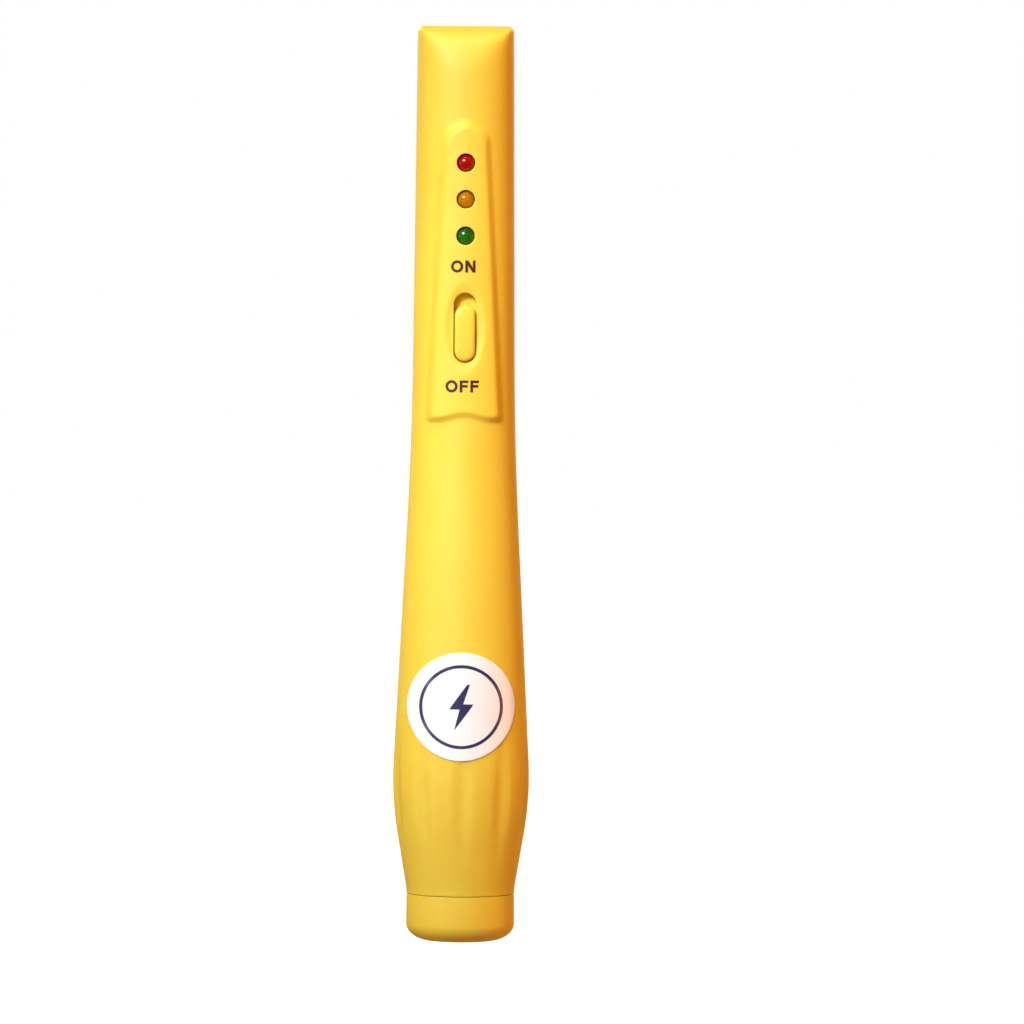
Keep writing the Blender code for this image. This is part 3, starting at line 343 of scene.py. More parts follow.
# %% Grid lines of the shells
RIBS = [18.2, 44.9, 63.0, 89.7]
BULKHEAD = 100.1
MOUTH = shell_low[2] + 7.0
WALL = 1.6
PARTING, LAP = 0.012, 0.5
heights = np.concatenate(
    [
        SEAM + np.array([0, 0.02, 0.05, 0.1, 0.2]),
        np.arange(8.9, 17.0, 0.5),
        np.arange(17.0, 37.0, 0.42),
        np.arange(37.0, 89.4, 1.1),
        np.arange(89.5, 94.2, 0.17),
        np.arange(94.4, 99.0, 0.5),
        np.arange(99.0, 116.6, 0.36),
        np.arange(116.8, 138.0, 0.6),
        np.arange(138.2, 144.6, 0.17),
        np.arange(145.0, NOSE, 0.5),
        NOSE + (TIP - NOSE) * np.sin(np.linspace(0, math.pi / 2, 44)),
    ]
)
# A step in the inside needs a row just below it and a row just above it.
edges = np.array([rib + half for rib in RIBS + [BULKHEAD] for half in (-0.5, 0.5)] + [MOUTH])
heights = heights[np.abs(heights[:, None] - edges).min(axis=1) > 0.05]
heights = np.sort(np.concatenate([heights, edges - 0.012, edges + 0.012]))


def columns(z, follow_panel):
    """Angles from the middle of a half to its edge, one row for each height."""
    radius = casing_radius(z)[:, None]
    near_joint = np.array([0.3, 0.2, 0.12, 0.06, 0.02, 0.0]) / radius
    if follow_panel:
        edge = panel_half_width(z)[:, None]
        wall = np.array([-1.1, -0.75, -0.5, -0.32, -0.18, -0.05, 0.08, 0.22, 0.4, 0.65, 1.0])
        inner = np.linspace(0, 1, 13)[:-1] * (edge + wall[0])
        middle = np.arcsin(np.clip(np.hstack([inner, edge + wall]) / radius, 0, 1))
    else:
        middle = np.linspace(0, 0.55, 20)[None, :] + 0 * radius
    last = middle[:, -1:]
    outer = last + (math.pi / 2 - near_joint[:, :1] - last) * np.linspace(0, 1, 29)[None, 1:-1]
    half = np.hstack([middle, outer, math.pi / 2 - near_joint])
    return np.hstack([-half[:, :0:-1], half])


print(len(heights), "rows of", columns(heights, True).shape[1], "points on the front half")

# %% [markdown]
# ## Outside and inside of a half
# A moulded half has one wall thickness all over, with ribs and steps on its inside that hold the
# cells and the board. So the outside is worked out first, and the inside is a second grid of the
# same rows and columns that is pushed in by the wall and stepped where there is a rib.

# %% Outside and inside of a half
def outside_of(z, angle, front):
    """Outer points of a half: round, cut by the chisel tip, with panel, scoop and flutes."""
    z = z[:, None] + 0 * angle
    radius = casing_radius(z)
    x = radius * np.sin(angle)
    drop = flute_drop(angle, z) * (z < 60)  # the leaning rods leave the casing well below this
    depth = front_depth(x, z) if front else body_depth(x, z)
    depth = np.where(np.abs(np.abs(angle) - math.pi / 2) < 1e-9, 0, depth)
    shrink = 1 - drop / radius
    rounding = fall_back(depth, 0.1)
    x = x * shrink * (1 - rounding / radius)
    high = z - rounding * ramp(z, TIP - 1.5, TIP)
    return np.stack([x, np.maximum(depth * shrink, PARTING), high], axis=-1)


def inside_of(z, angle, notches, edge_depth):
    """Inner points: one wall in, with the cap's bore at the mouth and ribs round the cells.

    Along the joint the wall's inner edge stands at edge_depth, so the two halves meet on a slope
    and no light shows between them. A notch is (half width, radius, low, high), where a rib is cut
    back to that radius. Above 146 mm the rows close up, to end at 158 mm under the solid tip.
    """
    z = np.where(z > 146, 146 + (z - 146) * 12 / (TIP - 146), z)[:, None] + 0 * angle
    radius = casing_radius(z) - WALL
    radius = np.where(z < MOUTH, 8.19, radius)
    for rib in RIBS:
        radius = np.where(np.abs(z - rib) < 0.5, 5.62, radius)
    radius = np.where(np.abs(z - BULKHEAD) < 0.5, 4.2, radius)
    across = radius * np.sin(angle)
    for half_width, reach, low, high in notches:
        inside = (np.abs(across) < half_width) & (z > low) & (z < high)
        radius = np.where(inside, np.maximum(radius, reach), radius)
    up = np.clip((z - NOSE) / (158.0 - NOSE), 0, 1)
    half = (casing_radius(NOSE) - WALL) * np.sqrt(1 - up**2) + 0.006 * np.clip(NOSE - z, 0, 40) ** 2
    depth = np.minimum(radius * np.cos(angle), half)
    depth = np.maximum(depth, max(edge_depth, 0.0) + PARTING)
    depth[:, [0, -1]] = edge_depth
    depth[-1] = edge_depth
    return np.stack([radius * np.sin(angle), depth, z], axis=-1)


def half_shell(name, front, notches):
    """One half of the casing. The front half looks along -Y and the rear half along +Y."""
    angle = columns(heights, front)
    outside = outside_of(heights, angle, front)
    inside = inside_of(heights, angle, notches, -LAP if front else LAP + 2 * PARTING)
    side = -1 if front else 1
    return thick_sheet(name, outside * [1, side, 1], inside * [1, side, 1], sharp=38)


front = half_shell("casing_front", True, [(3.1, 7.25, 99.0, 101.0)])
rear = half_shell("casing_rear", False, [(1.9, 6.4, 15.0, 101.0)])
print("front half", len(front.data.polygons), "faces, rear half", len(rear.data.polygons))

# %% [markdown]
# ## Holes with soft lips
# Moulded holes have a small radius at their edge, which catches the light. A Bevel modifier on a
# cut edge often fails where the surface curves. So the cutter itself has a flared rim that follows
# the surface, and one Boolean cut leaves both the wall and the rounded lip.

# %% Cut the slot and the lamp holes
lamps = {name: box(name) for name in ("lamp_red", "lamp_amber", "lamp_green")}
lamp_z = {name: (low[2] + high[2]) / 2 for name, (low, high) in lamps.items()}


def oblong(name, rows, z, surface, x=0.0, arc_steps=24, side_steps=14, ring=False):
    """A closed shape of oblong outlines, one for each row of (radius, straight, out).

    An outline is two half circles, centred `straight` above and below z. Every point stands out by
    `out` from the surface, which is a depth for each x and height.
    """
    half = np.linspace(0, math.pi, arc_steps + 1)
    rows = np.asarray(rows, float)
    slide = np.linspace(1, -1, side_steps + 2)[1:-1] if rows[:, 1].any() else np.zeros(0)
    turn = np.concatenate([half, 0 * slide + math.pi, half + math.pi, 0 * slide])
    along = np.concatenate([0 * half + 1, slide, 0 * half - 1, -slide])
    if ring:
        rows = np.vstack([rows, rows[:1]])
    radius, straight, out = rows.T[:, :, None]
    across = x + radius * np.cos(turn)
    high = z + straight * along + radius * np.sin(turn)
    points = np.stack([across, -(surface(across, high) + out), high], axis=-1)
    return make_object(name, points, grid_faces(len(rows), len(turn), closed=True))


def flared_cutter(name, radius, straight, z, lip):
    """A cutter through the front wall: a straight oblong, then a flare that rounds the hole's lip.

    The flare is a quarter of a circle of radius lip, up to 76 degrees, and then goes straight out.
    """
    turn = np.radians(np.linspace(0, 76, 7))
    flare = np.stack([radius + lip * (1 - np.cos(turn)), 0 * turn, -lip * (1 - np.sin(turn))], axis=-1)
    outer = radius + lip + 0.05
    rows = [[0, 0, -3.0], [radius, 0, -3.0], [radius, 0, -0.8], *flare, [outer, 0, 0.3]]
    rows = np.array(rows + [[outer, 0, 2.0], [0, 0, 2.0]])
    rows[:, 1] = straight
    return oblong(name, rows, z, front_depth)


def cut(target, *cutters, operation="DIFFERENCE"):
    """Applies one Boolean with all the cutters joined, and takes the cutters away."""
    tool = join("cutters", *cutters)
    modifier = target.modifiers.new("cut", "BOOLEAN")
    modifier.operation = operation
    modifier.solver = "MANIFOLD"
    modifier.object = tool
    bpy.context.view_layer.update()
    graph = bpy.context.evaluated_depsgraph_get()
    mesh = bpy.data.meshes.new_from_object(target.evaluated_get(graph))
    target.modifiers.clear()
    target.data = mesh
    bpy.data.objects.remove(tool)
    smooth(mesh, 38)
    return target


cutters = [flared_cutter("slot_cutter", 1.96, 4.1, SWITCH, 0.2)]
cutters += [flared_cutter(name + "_cutter", 1.6, 0.0, z, 0.18) for name, z in lamp_z.items()]
cut(front, *cutters)
print("front half after cutting", len(front.data.polygons), "faces")

# %% [markdown]
# ## Screw bosses
# The two screws pass through bosses in the rear half and bite in thinner posts on the front half.
# A boss is joined on with a Boolean union, and then bored with one stepped cutter that leaves the
# screw's hole, the counterbore for its head and the chamfer at the surface.

# %% Screw bosses and counterbores
screws = {name: box(name) for name in ("case_screw_middle", "case_screw_tip")}
screw_z = {name: (low[2] + high[2]) / 2 for name, (low, high) in screws.items()}


def rod(name, radius, start, end, z, steps=40):
    """A plain round rod along Y, from y = start to y = end."""
    return turned(name, [[0, -start], [radius, -start], [radius, -end], [0, -end]], steps, front=(0, z))


posts, pilots, bosses, bores = [], [], [], []
for n, z in screw_z.items():
    wall = float(body_depth(0.0, z))
    post_end = -1.5 if n == "case_screw_middle" else -0.15
    posts.append(rod(n + "_post", 1.9, 1.2 - wall, post_end, z))
    pilots.append(rod(n + "_pilot", 1.05, 1.9 - wall, 1.0, z))
    boss = [[0, -0.3], [1.9, -0.3], [1.9, 3.0 - wall], [3.05, 3.0 - wall], [3.05, 1.1 - wall],
            [0, 1.1 - wall]]
    bore = [[0, 1.0], [1.15, 1.0], [1.15, 2.0 - wall], [2.05, 2.0 - wall], [2.05, 0.25 - wall],
            [2.3, -0.02 - wall], [2.45, -1.5 - wall], [0, -1.5 - wall]]
    bosses.append(turned(n + "_boss", boss, 40, front=(0, z)))
    bores.append(turned(n + "_bore", bore, 47, front=(0, z)))
cut(front, *posts, operation="UNION")
cut(front, *pilots)
cut(rear, *bosses, operation="UNION")
cut(rear, *bores)
print("rear half after cutting", len(rear.data.polygons), "faces")

# %% [markdown]
# ## The tail cap
# The cap is one moulding: a cup with a well rounded bottom edge, and a thinner spigot above it that
# slides into the neck. It is a plain turned shape. The dimple in the middle of its base is where
# the plastic was fed into the mould.

# %% Turn the cap
cap_top = 8.2
edge = np.radians(np.linspace(-90, 0, 28))
cap_edge = np.stack([NECK - 4.2 + 4.2 * np.cos(edge), 3.0 + 3.0 * np.sin(edge)], axis=-1)
cap_profile = [
    # the gate's dimple and the ring round it
    [0, 0.28],
    [0.6, 0.28],
    [0.9, 0.3],
    [1.1, 0.36],
    [1.3, 0.42],
    [2.2, 0.42],
    *arc((2.2, 0.3), 0.12, 90, 0, 4)[1:],
    *arc((2.52, 0.2), 0.2, 180, 270, 5),
    # the bottom edge, a quarter of an ellipse, and the side
    *cap_edge,
    [NECK - 0.02, 5.6],
    *arc((NECK - 0.18, cap_top - 0.14), 0.14, 0, 90, 7),
    # the shoulder, the spigot and its bore
    [8.3, cap_top],
    *arc((8.17, cap_top + 0.1), 0.1, 270, 180, 4),
    [8.07, 14.7],
    *arc((7.77, 14.9), 0.3, 0, 90, 6),
    *arc((7.12, 15.05), 0.15, 90, 180, 5),
    [6.97, 2.4],
    *arc((6.67, 2.3), 0.3, 0, -90, 4),
    [0, 2.0],
]
cap = turned("tail_cap_moulding", cap_profile, steps=160)
print("cap", [round(v / MM, 2) for v in cap.dimensions])

# %% [markdown]
# ## The slide switch's knob
# The knob is a smooth oblong button, crowned along and across, that stands a little proud of the
# slot. A wide flange under the casing keeps it in. The rows run from the crown out to the rounded
# edge, down the side and out round the flange.

# %% Shape the knob
knob_z = (knob_low[2] + knob_high[2]) / 2
knob_top = -knob_low[1]
KNOB_STRAIGHT = 3.05


def knob_crown(x, z):
    """Depth of the knob's top: it falls as the square of the distance to its ends and sides."""
    return knob_top - 0.0096 * (z - knob_z) ** 2 - 0.05 * x**2


turn = np.radians(np.linspace(90, 0, 8))
edge = np.stack([1.15 + 0.65 * np.cos(turn), 0 * turn, -0.65 * (1 - np.sin(turn))], axis=-1)
button_rows = [[0, 0, 0], [0.4, 0, 0], [0.8, 0, 0], *edge, [1.8, 0, -1.2], [1.8, 0, -3.0], [0, 0, -3.0]]
button_rows = np.array(button_rows) + [0, KNOB_STRAIGHT, 0]
knob = oblong("switch_button", button_rows, knob_z, knob_crown)


def flange_top(x, z):
    """Depth of the flange, which is curved to run just under the casing's wall."""
    return np.sqrt(7.06**2 - x**2) + 0 * z


flange_rows = [[0, 0, 0], [1.4, 0, 0], [2.7, 0, 0], [2.8, 0, -0.1], [2.8, 0, -0.8], [2.7, 0, -0.9]]
flange_rows = np.array(flange_rows + [[0, 0, -0.9]]) + [0, 4.45, 0]
cut(knob, oblong("flange", flange_rows, knob_z, flange_top), operation="UNION")
print("knob", [round(v / MM, 2) for v in knob.dimensions])

# %% [markdown]
# ## Lamps
# Each lamp is a 3 mm LED: a cast epoxy lens with a domed end and a wider flange, on two legs of
# square wire. The lens is turned about its own axis, which points out of the panel, and a leg is a
# turned shape of four steps, which makes it square.

# %% Lens and legs
lenses, legs = {}, {}
for name, (low, high) in lamps.items():
    tip, z = -low[1] + 0.12, lamp_z[name]
    dome = [[1.5 * math.sin(a), tip - 1.15 * (1 - math.cos(a))] for a in np.linspace(0, math.pi / 2, 14)]
    flange = [[1.5, tip - 4.3], [1.85, tip - 4.35], [1.9, tip - 4.4], [1.9, tip - 5.2], [0, tip - 5.3]]
    lenses[name] = turned(name + "_lens", dome + flange, 56, front=(0, z))
    back = -high[1]
    leg = [[0, back], [0.28, back + 0.1], [0.28, tip - 5.2], [0, tip - 5.2]]
    pair = [turned(name + "_leg", leg, 4, front=(side, z)) for side in (-1.27, 1.27)]
    legs[name] = join(name + "_legs", *pair)
print(len(lenses), "lamps at", [round(float(z), 2) for z in lamp_z.values()], "mm")

# %% [markdown]
# ## The round label
# A round film label with a soft domed edge is stuck to the front of the casing and wraps round it.
# It is an oblong with no straight part, laid on the casing's surface. A flat disc projected onto
# the surface would do the same, but this way the rim keeps an even thickness.

# %% Label
label_low, label_high = box("round_label")
label_z = (label_low[2] + label_high[2]) / 2
label_radius = label_high[0] - 0.02
label_x = -0.25
LABEL_THICK, LABEL_EDGE = 0.27, 0.12
turn = np.radians(np.linspace(90, 0, 6))
back, down = LABEL_EDGE * (1 - np.cos(turn)), LABEL_EDGE * (1 - np.sin(turn))
label_rows = [[r, 0, LABEL_THICK] for r in (0, 1.2, 2.4, 3.6, 4.8, 6.0, 7.0, 7.9, 8.6, 9.0)]
label_rows += np.stack([label_radius - back, 0 * turn, LABEL_THICK - down], axis=-1).tolist()
label_rows += [[label_radius, 0, 0.06], [label_radius - 0.1, 0, 0.04], [6.0, 0, 0.04], [0, 0, 0.04]]
label = oblong("label_film", label_rows, label_z, body_depth, x=label_x, arc_steps=90)
print("label", [round(v / MM, 2) for v in label.dimensions])

# %% [markdown]
# ## Printing
# The panel carries ON above the slot and OFF below it. On the real tester they are pad printed: a
# soft pad lays a thin coat of ink on the curved face. Here the ink is a thin mesh that follows the
# surface, so it catches light as ink does. A stroke is a flat band carried along a path, with
# mitred corners, and laid on the surface below it.

# %% Strokes
INK = 0.03


def label_face(x, z):
    return body_depth(x, z) + LABEL_THICK


def laid_on(name, x, z, surface):
    """Ink on a surface: a grid that stands out by INK, and one sunk by 0.03 mm to close it."""
    depth = surface(x, z)
    top = np.stack([x, -(depth + INK), z], axis=-1)
    return thick_sheet(name, top, np.stack([x, -(depth - 0.03), z], axis=-1))


def stroke(name, path, width, low, high):
    """A flat band along a path of (x, height), mitred at corners and clipped between two heights.

    Where two runs with normals a and b meet, the corner goes out by (a + b) / (1 + a.b).
    """
    path = np.asarray(path, float)
    along = np.diff(path, axis=0)
    along /= np.linalg.norm(along, axis=1, keepdims=True)
    normal = np.stack([-along[:, 1], along[:, 0]], axis=-1)
    before, after = np.vstack([normal[:1], normal]), np.vstack([normal, normal[-1:]])
    mitre = (before + after) / (1 + (before * after).sum(axis=1, keepdims=True)) * width / 2
    gone = np.concatenate([[0], np.cumsum(np.linalg.norm(np.diff(path, axis=0), axis=1))])
    at = np.union1d(gone, np.arange(0, gone[-1], 0.15))
    centre = np.stack([np.interp(at, gone, path[:, i]) for i in (0, 1)], axis=-1)
    reach = np.stack([np.interp(at, gone, mitre[:, i]) for i in (0, 1)], axis=-1)
    both = centre[:, None] + reach[:, None] * np.array([-1, 0, 1])[None, :, None]
    return laid_on(name, both[..., 0], np.clip(both[..., 1], low, high), front_depth)


print("ink", INK, "mm thick, over a panel at", round(float(front_depth(0.0, 118.2)), 2), "mm")

# %% [markdown]
# The letters are plain blocks 2.1 mm high. An O is a ring of two half circles and two short
# straights, an N is one stroke with two mitred corners, and an F is three strokes.

# %% Letters
WIDTHS = {"O": 2.12, "N": 1.78, "F": 1.5}


def letters(name, word, middle, aside, height=2.1, pen=0.47, gap=0.36):
    """Block letters O, N and F, centred on a height and moved aside, as one object."""
    low, high = middle - height / 2, middle + height / 2
    x = aside - (sum(WIDTHS[c] for c in word) + gap * (len(word) - 1)) / 2
    made = []
    for letter in word:
        wide = WIDTHS[letter]
        left, right = x + pen / 2, x + wide - pen / 2
        if letter == "O":
            out, straight = wide / 2, (height - wide) / 2 + 0.02
            ring = [[out, straight, -0.03], [out, straight, INK],
                    [out - pen, straight, INK], [out - pen, straight, -0.03]]
            made.append(oblong("o", ring, middle, front_depth, x=x + wide / 2, ring=True))
        elif letter == "N":
            path = [[left, low - 0.3], [left, high], [right, low], [right, high + 0.3]]
            made.append(stroke("n", path, pen, low, high))
        else:
            made.append(stroke("f", [[left, low], [left, high]], pen, low, high))
            for bar, end in ((high - pen / 2, wide), (middle + 0.02, wide - 0.12)):
                made.append(stroke("f", [[left, bar], [x + end, bar]], pen * 0.92, low, high))
        x += wide + gap
    return join(name, *made)


on_print = letters("print_on", "ON", 118.2, -0.37)
off_print = letters("print_off", "OFF", 97.35, -0.42)
print("letters", [round(v / MM, 2) for v in off_print.dimensions])

# %% [markdown]
# The label carries a plain ring round a bolt, the common sign for electricity. The ring is an
# oblong with no straight part. The bolt is a grid between its left and right edges, which are
# given at six heights and are straight between them.

# %% Ring and bolt
ring_rows = [[7.3, 0, -0.03], [7.3, 0, INK], [6.75, 0, INK], [6.75, 0, -0.03]]
ring_print = oblong("print_ring", ring_rows, label_z, label_face, x=label_x, arc_steps=90, ring=True)

bolt = np.array([
    [3.9, 1.0, 1.5], [0.5, -1.47, 0.3], [0.46, -1.5, 2.1],
    [-0.4, -2.1, 1.55], [-0.44, -0.3, 1.5], [-3.9, -1.2, -1.1],
])
bolt_z = np.union1d(bolt[:, 0], np.arange(-3.9, 3.9, 0.2))[::-1]
bolt_left = np.interp(-bolt_z, -bolt[:, 0], bolt[:, 1])[:, None]
bolt_right = np.interp(-bolt_z, -bolt[:, 0], bolt[:, 2])[:, None]
x = label_x + bolt_left + (bolt_right - bolt_left) * np.linspace(0, 1, 9)
bolt_print = laid_on("print_bolt", x, label_z + bolt_z[:, None] + 0 * x, label_face)
print("ring", round(ring_print.dimensions.x / MM, 2), "bolt", round(bolt_print.dimensions.z / MM, 2), "mm")

# %% [markdown]
# ## Screws
# Two self-tapping screws come in from the back. Each has a pan head with a cross recess and a
# coarse thread. The thread is the turned shank with its radius raised along a helix, so the whole
# screw is one grid: angle round it, and distance along it.

# %% Screws with a helical thread
THREAD_PITCH, THREAD_HEIGHT, SHANK = 0.9, 0.28, 0.62
RECESS_TURN = 0.5


def recess_arm(turn, head, z):
    """One arm of the cross recess: a slot that is smaller at its bottom than at the head's top."""
    block = np.stack(np.meshgrid([-1.15, 1.15], [-0.22, 0.22], indexing="ij"), axis=-1)
    spin = np.array([[math.cos(turn), math.sin(turn)], [-math.sin(turn), math.cos(turn)]])
    wide, deep = block @ spin, (block * [0.45, 0.6]) @ spin
    top = np.stack([wide[..., 0], 0 * wide[..., 0] + head + 0.3, z + wide[..., 1]], axis=-1)
    bottom = np.stack([deep[..., 0], 0 * deep[..., 0] + head - 0.85, z + deep[..., 1]], axis=-1)
    return thick_sheet("arm", top, bottom)


screw_objects = []
for n, (low, high) in screws.items():
    head, tip, z = high[1] - 0.02, low[1], screw_z[n]
    t = np.linspace(0, math.tau, 33)[:-1]
    shank = np.arange(tip + 0.9, head - 1.5, 0.07)[::-1]
    shape = [[0, head], [0.7, head], [1.2, head - 0.06], [1.55, head - 0.2], [1.75, head - 0.45]]
    shape += [[1.8, head - 0.7], [1.8, head - 1.15], [1.74, head - 1.2], [0.72, head - 1.2]]
    shape += [[SHANK, y] for y in shank] + [[0.45, tip + 0.5], [0.08, tip + 0.02], [0, tip]]
    shape = np.array(shape)
    radius, along = shape[:, :1], shape[:, 1:]
    turns = along / THREAD_PITCH - t / math.tau
    crest = np.clip(1 - 3.2 * np.abs(np.mod(turns, 1) - 0.5), 0, 1)
    threaded = (radius == SHANK) & (along < head - 1.9)
    radius = radius + np.where(threaded, THREAD_HEIGHT * crest, 0 * crest)
    points = np.stack([radius * np.cos(t), along + 0 * radius, z + radius * np.sin(t)], axis=-1)
    screw = make_object(n + "_steel", points, grid_faces(len(shape), len(t), closed=True))
    arms = [recess_arm(RECESS_TURN + quarter, head, z) for quarter in (0, math.pi / 2)]
    for arm in arms:
        cut(screw, arm)
    screw_objects.append(screw)
print("screws", [len(s.data.polygons) for s in screw_objects])

# %% [markdown]
# ## Cells
# The two cells are the slim kind, 10.5 mm across and 44.5 mm long, each with a raised button at one
# end, a ring round the other, and a jacket rolled over at both. A cell is drawn from flat sheet in
# a press, which makes it a plain turned shape.

# %% Cells
cells = []
for n in ("cell_lower", "cell_upper"):
    low, high = box(n)
    bottom, top = low[2], high[2]
    radius = min(high[0] / math.cos(math.pi / 32), 5.25)
    profile = [
        [0, bottom + 0.05],
        [2.6, bottom + 0.05],
        [2.8, bottom + 0.3],
        [3.9, bottom + 0.3],
        [4.1, bottom + 0.02],
        [4.6, bottom + 0.02],
        *arc((radius - 0.45, bottom + 0.5), 0.45, -90, 0, 6),
        [radius, bottom + 1.0],
        [radius, top - 2.1],
        *arc((radius - 0.5, top - 1.6), 0.5, 0, 80, 6),
        [4.2, top - 1.15],
        [2.4, top - 1.05],
        [1.95, top - 1.0],
        *arc((1.65, top - 0.25), 0.25, 0, 90, 5),
        [0, top],
    ]
    cells.append(turned(n + "_body", profile, 72))
print("cells", [round(v / MM, 1) for v in cells[0].dimensions])

# %% [markdown]
# ## Spring
# The spring is a round wire wound on a cone, wide at the cap and narrow at the cell, with closed
# turns at both ends. It is a small circle carried along a conical helix: the angle grows evenly,
# the radius shrinks evenly, and the height hardly grows in the first and the last turns.

# %% Spring
spring_low, spring_high = box("battery_spring")
TURNS, WIRE = 5.2, 0.28
t = np.linspace(0, 1, 420)[:, None]
angle = math.tau * TURNS * t
rise = np.clip((t - 0.12) / 0.78, 0, 1) * 0.9 + 0.05 * ramp(t, 0, 0.12) + 0.05 * ramp(t, 0.9, 1.0)
height = spring_low[2] + WIRE + (spring_high[2] - spring_low[2] - 2 * WIRE) * rise
reach = (4.6 - WIRE) + (2.4 - 4.6) * np.clip(t * 1.05, 0, 1)
round_wire = np.linspace(0, math.tau, 13)[None, :-1]
out = reach + WIRE * np.cos(round_wire)
coil = np.stack([out * np.cos(angle), out * np.sin(angle), height + WIRE * np.sin(round_wire)], axis=-1)
ends = coil[[0, -1]].mean(axis=1, keepdims=True) + np.zeros((2, 12, 3))
coil = np.concatenate([ends[:1], coil, ends[1:]])
spring = make_object("spring_wire", coil, grid_faces(422, 12, closed=True))
print("spring", [round(v / MM, 2) for v in spring.dimensions])

# %% [markdown]
# ## Materials
# Colours are written as hex values and turned to the linear numbers that the shader works in. One
# small function adds a node with its settings and links, and every material is built with it.
# Patterns are laid out on each piece's own coordinates in metres, so a noise of scale 1000 has
# lumps about 1 mm across.

# %% Node helper


def colour(code):
    """Linear colour with alpha for an sRGB hex value such as 'F5D33C'."""
    value = np.array([int(code[i : i + 2], 16) for i in (0, 2, 4)]) / 255
    linear = np.where(value <= 0.04045, value / 12.92, ((value + 0.055) / 1.055) ** 2.4)
    return (*(float(v) for v in linear), 1.0)


def add(tree, kind, inputs=None, **settings):
    """Adds a node: settings are its properties, inputs its sockets, each a value or an output."""
    node = tree.nodes.new("ShaderNode" + kind)
    for key, value in settings.items():
        setattr(node, key, value)
    for key, value in (inputs or {}).items():
        if isinstance(value, bpy.types.NodeSocket):
            tree.links.new(value, node.inputs[key])
        else:
            node.inputs[key].default_value = value
    return node


def new_material(name):
    """An empty material with its node tree and the piece's own coordinates."""
    material = bpy.data.materials.new(name)
    material.use_nodes = True
    material.node_tree.nodes.clear()
    place = add(material.node_tree, "TexCoord").outputs["Object"]
    return material, material.node_tree, place


def end_material(tree, inputs):
    """Adds the surface shader and the output."""
    shader = add(tree, "BsdfPrincipled", inputs)
    add(tree, "OutputMaterial", {"Surface": shader.outputs["BSDF"]})


def wear(tree, place, scale, low, high, detail=3.0):
    """A number between low and high that drifts over the surface in lumps of 1000 / scale mm."""
    noise = add(tree, "TexNoise", {"Vector": place, "Scale": scale, "Detail": detail, "Roughness": 0.55})
    drift = add(tree, "MapRange", {"Value": noise.outputs["Fac"], "From Min": 0.3, "From Max": 0.7,
                                   "To Min": low, "To Max": high})
    return drift.outputs["Result"]


def mixed(tree, factor, first, second):
    """A colour between two, by a factor. The Mix node's colour sockets are numbers 6 and 7."""
    return add(tree, "Mix", {"Factor": factor, 6: first, 7: second}, data_type="RGBA").outputs[2]


print("yellow of the casing, linear:", [round(v, 3) for v in colour("EED850")[:3]])

# %% [markdown]
# ## Yellow plastic
# The casing is ABS, a tough moulding plastic, coloured right through. Light goes a few millimetres
# into it and comes back more orange, because the pigment takes out blue first and then green. Its
# surface is satin, with a fine grain from the mould and slow changes in gloss. The knob is handled
# more, so it is smoother.

# %% Yellow ABS


def moulded_plastic(name, base, deep, roughness, grain):
    """ABS: a colour that drifts over 17 mm, a gloss that drifts over 7 mm and a spark grain.

    The grain is 0.4 mm, where a real one is nearer 0.05 mm, so that it shows at all. The slow bump
    of 11 mm is the slight sinking of a moulded wall.
    """
    material, tree, place = new_material(name)
    tint = mixed(tree, wear(tree, place, 60.0, 0.0, 1.0), colour(base), colour(deep))
    gloss = wear(tree, place, 140.0, roughness - 0.05, roughness + 0.06)
    spark = add(tree, "TexNoise", {"Vector": place, "Scale": 2600.0, "Detail": 2.0, "Roughness": 0.6})
    swell = add(tree, "TexNoise", {"Vector": place, "Scale": 90.0, "Detail": 1.0, "Roughness": 0.4})
    first = add(tree, "Bump", {"Height": spark.outputs["Fac"], "Strength": grain, "Distance": 0.00003})
    bump = add(tree, "Bump", {"Height": swell.outputs["Fac"], "Strength": 0.12, "Distance": 0.0001,
                              "Normal": first.outputs["Normal"]})
    end_material(tree, {
        "Base Color": tint,
        "Roughness": gloss,
        "IOR": 1.53,
        "Normal": bump.outputs["Normal"],
        "Subsurface Weight": 0.35,
        "Subsurface Radius": (1.0, 0.42, 0.05),
        "Subsurface Scale": 0.0022,
    })
    return material


yellow = moulded_plastic("abs_moulded_yellow", "EED850", "EBD348", 0.5, 0.35)
knob_yellow = moulded_plastic("abs_moulded_knob", "EEDA58", "EBD54E", 0.3, 0.2)
print("yellow plastics", yellow.name, knob_yellow.name)

# %% [markdown]
# ## Label and inks
# The label is a white polyester film under a clear gloss layer, so it is smoother and brighter than
# the casing. It also gives out a weak blue-white glow of its own, painted light that lifts its white,
# standing for the whitening agent in such film. Ink lies in a thin coat that is slightly uneven.

# %% Label film and inks


def printed_film(name, base, deep, roughness, coat, painted_glow=0.0):
    """Film or ink: a colour in 4.5 mm clouds, gloss in 2.5 mm clouds and a bump of 6 mm."""
    material, tree, place = new_material(name)
    tint = mixed(tree, wear(tree, place, 220.0, 0.0, 1.0), colour(base), colour(deep))
    swell = add(tree, "TexNoise", {"Vector": place, "Scale": 160.0, "Detail": 1.0, "Roughness": 0.4})
    bump = add(tree, "Bump", {"Height": swell.outputs["Fac"], "Strength": 0.15, "Distance": 0.0001})
    end_material(tree, {
        "Base Color": tint,
        "Roughness": wear(tree, place, 400.0, roughness - 0.04, roughness + 0.04),
        "IOR": 1.5,
        "Normal": bump.outputs["Normal"],
        "Coat Weight": coat,
        "Coat Roughness": 0.12,
        # Painted light: a weak blue-white glow of the film's own, which lifts its white.
        "Emission Color": colour("C8D8FF"),
        "Emission Strength": painted_glow,
    })
    return material


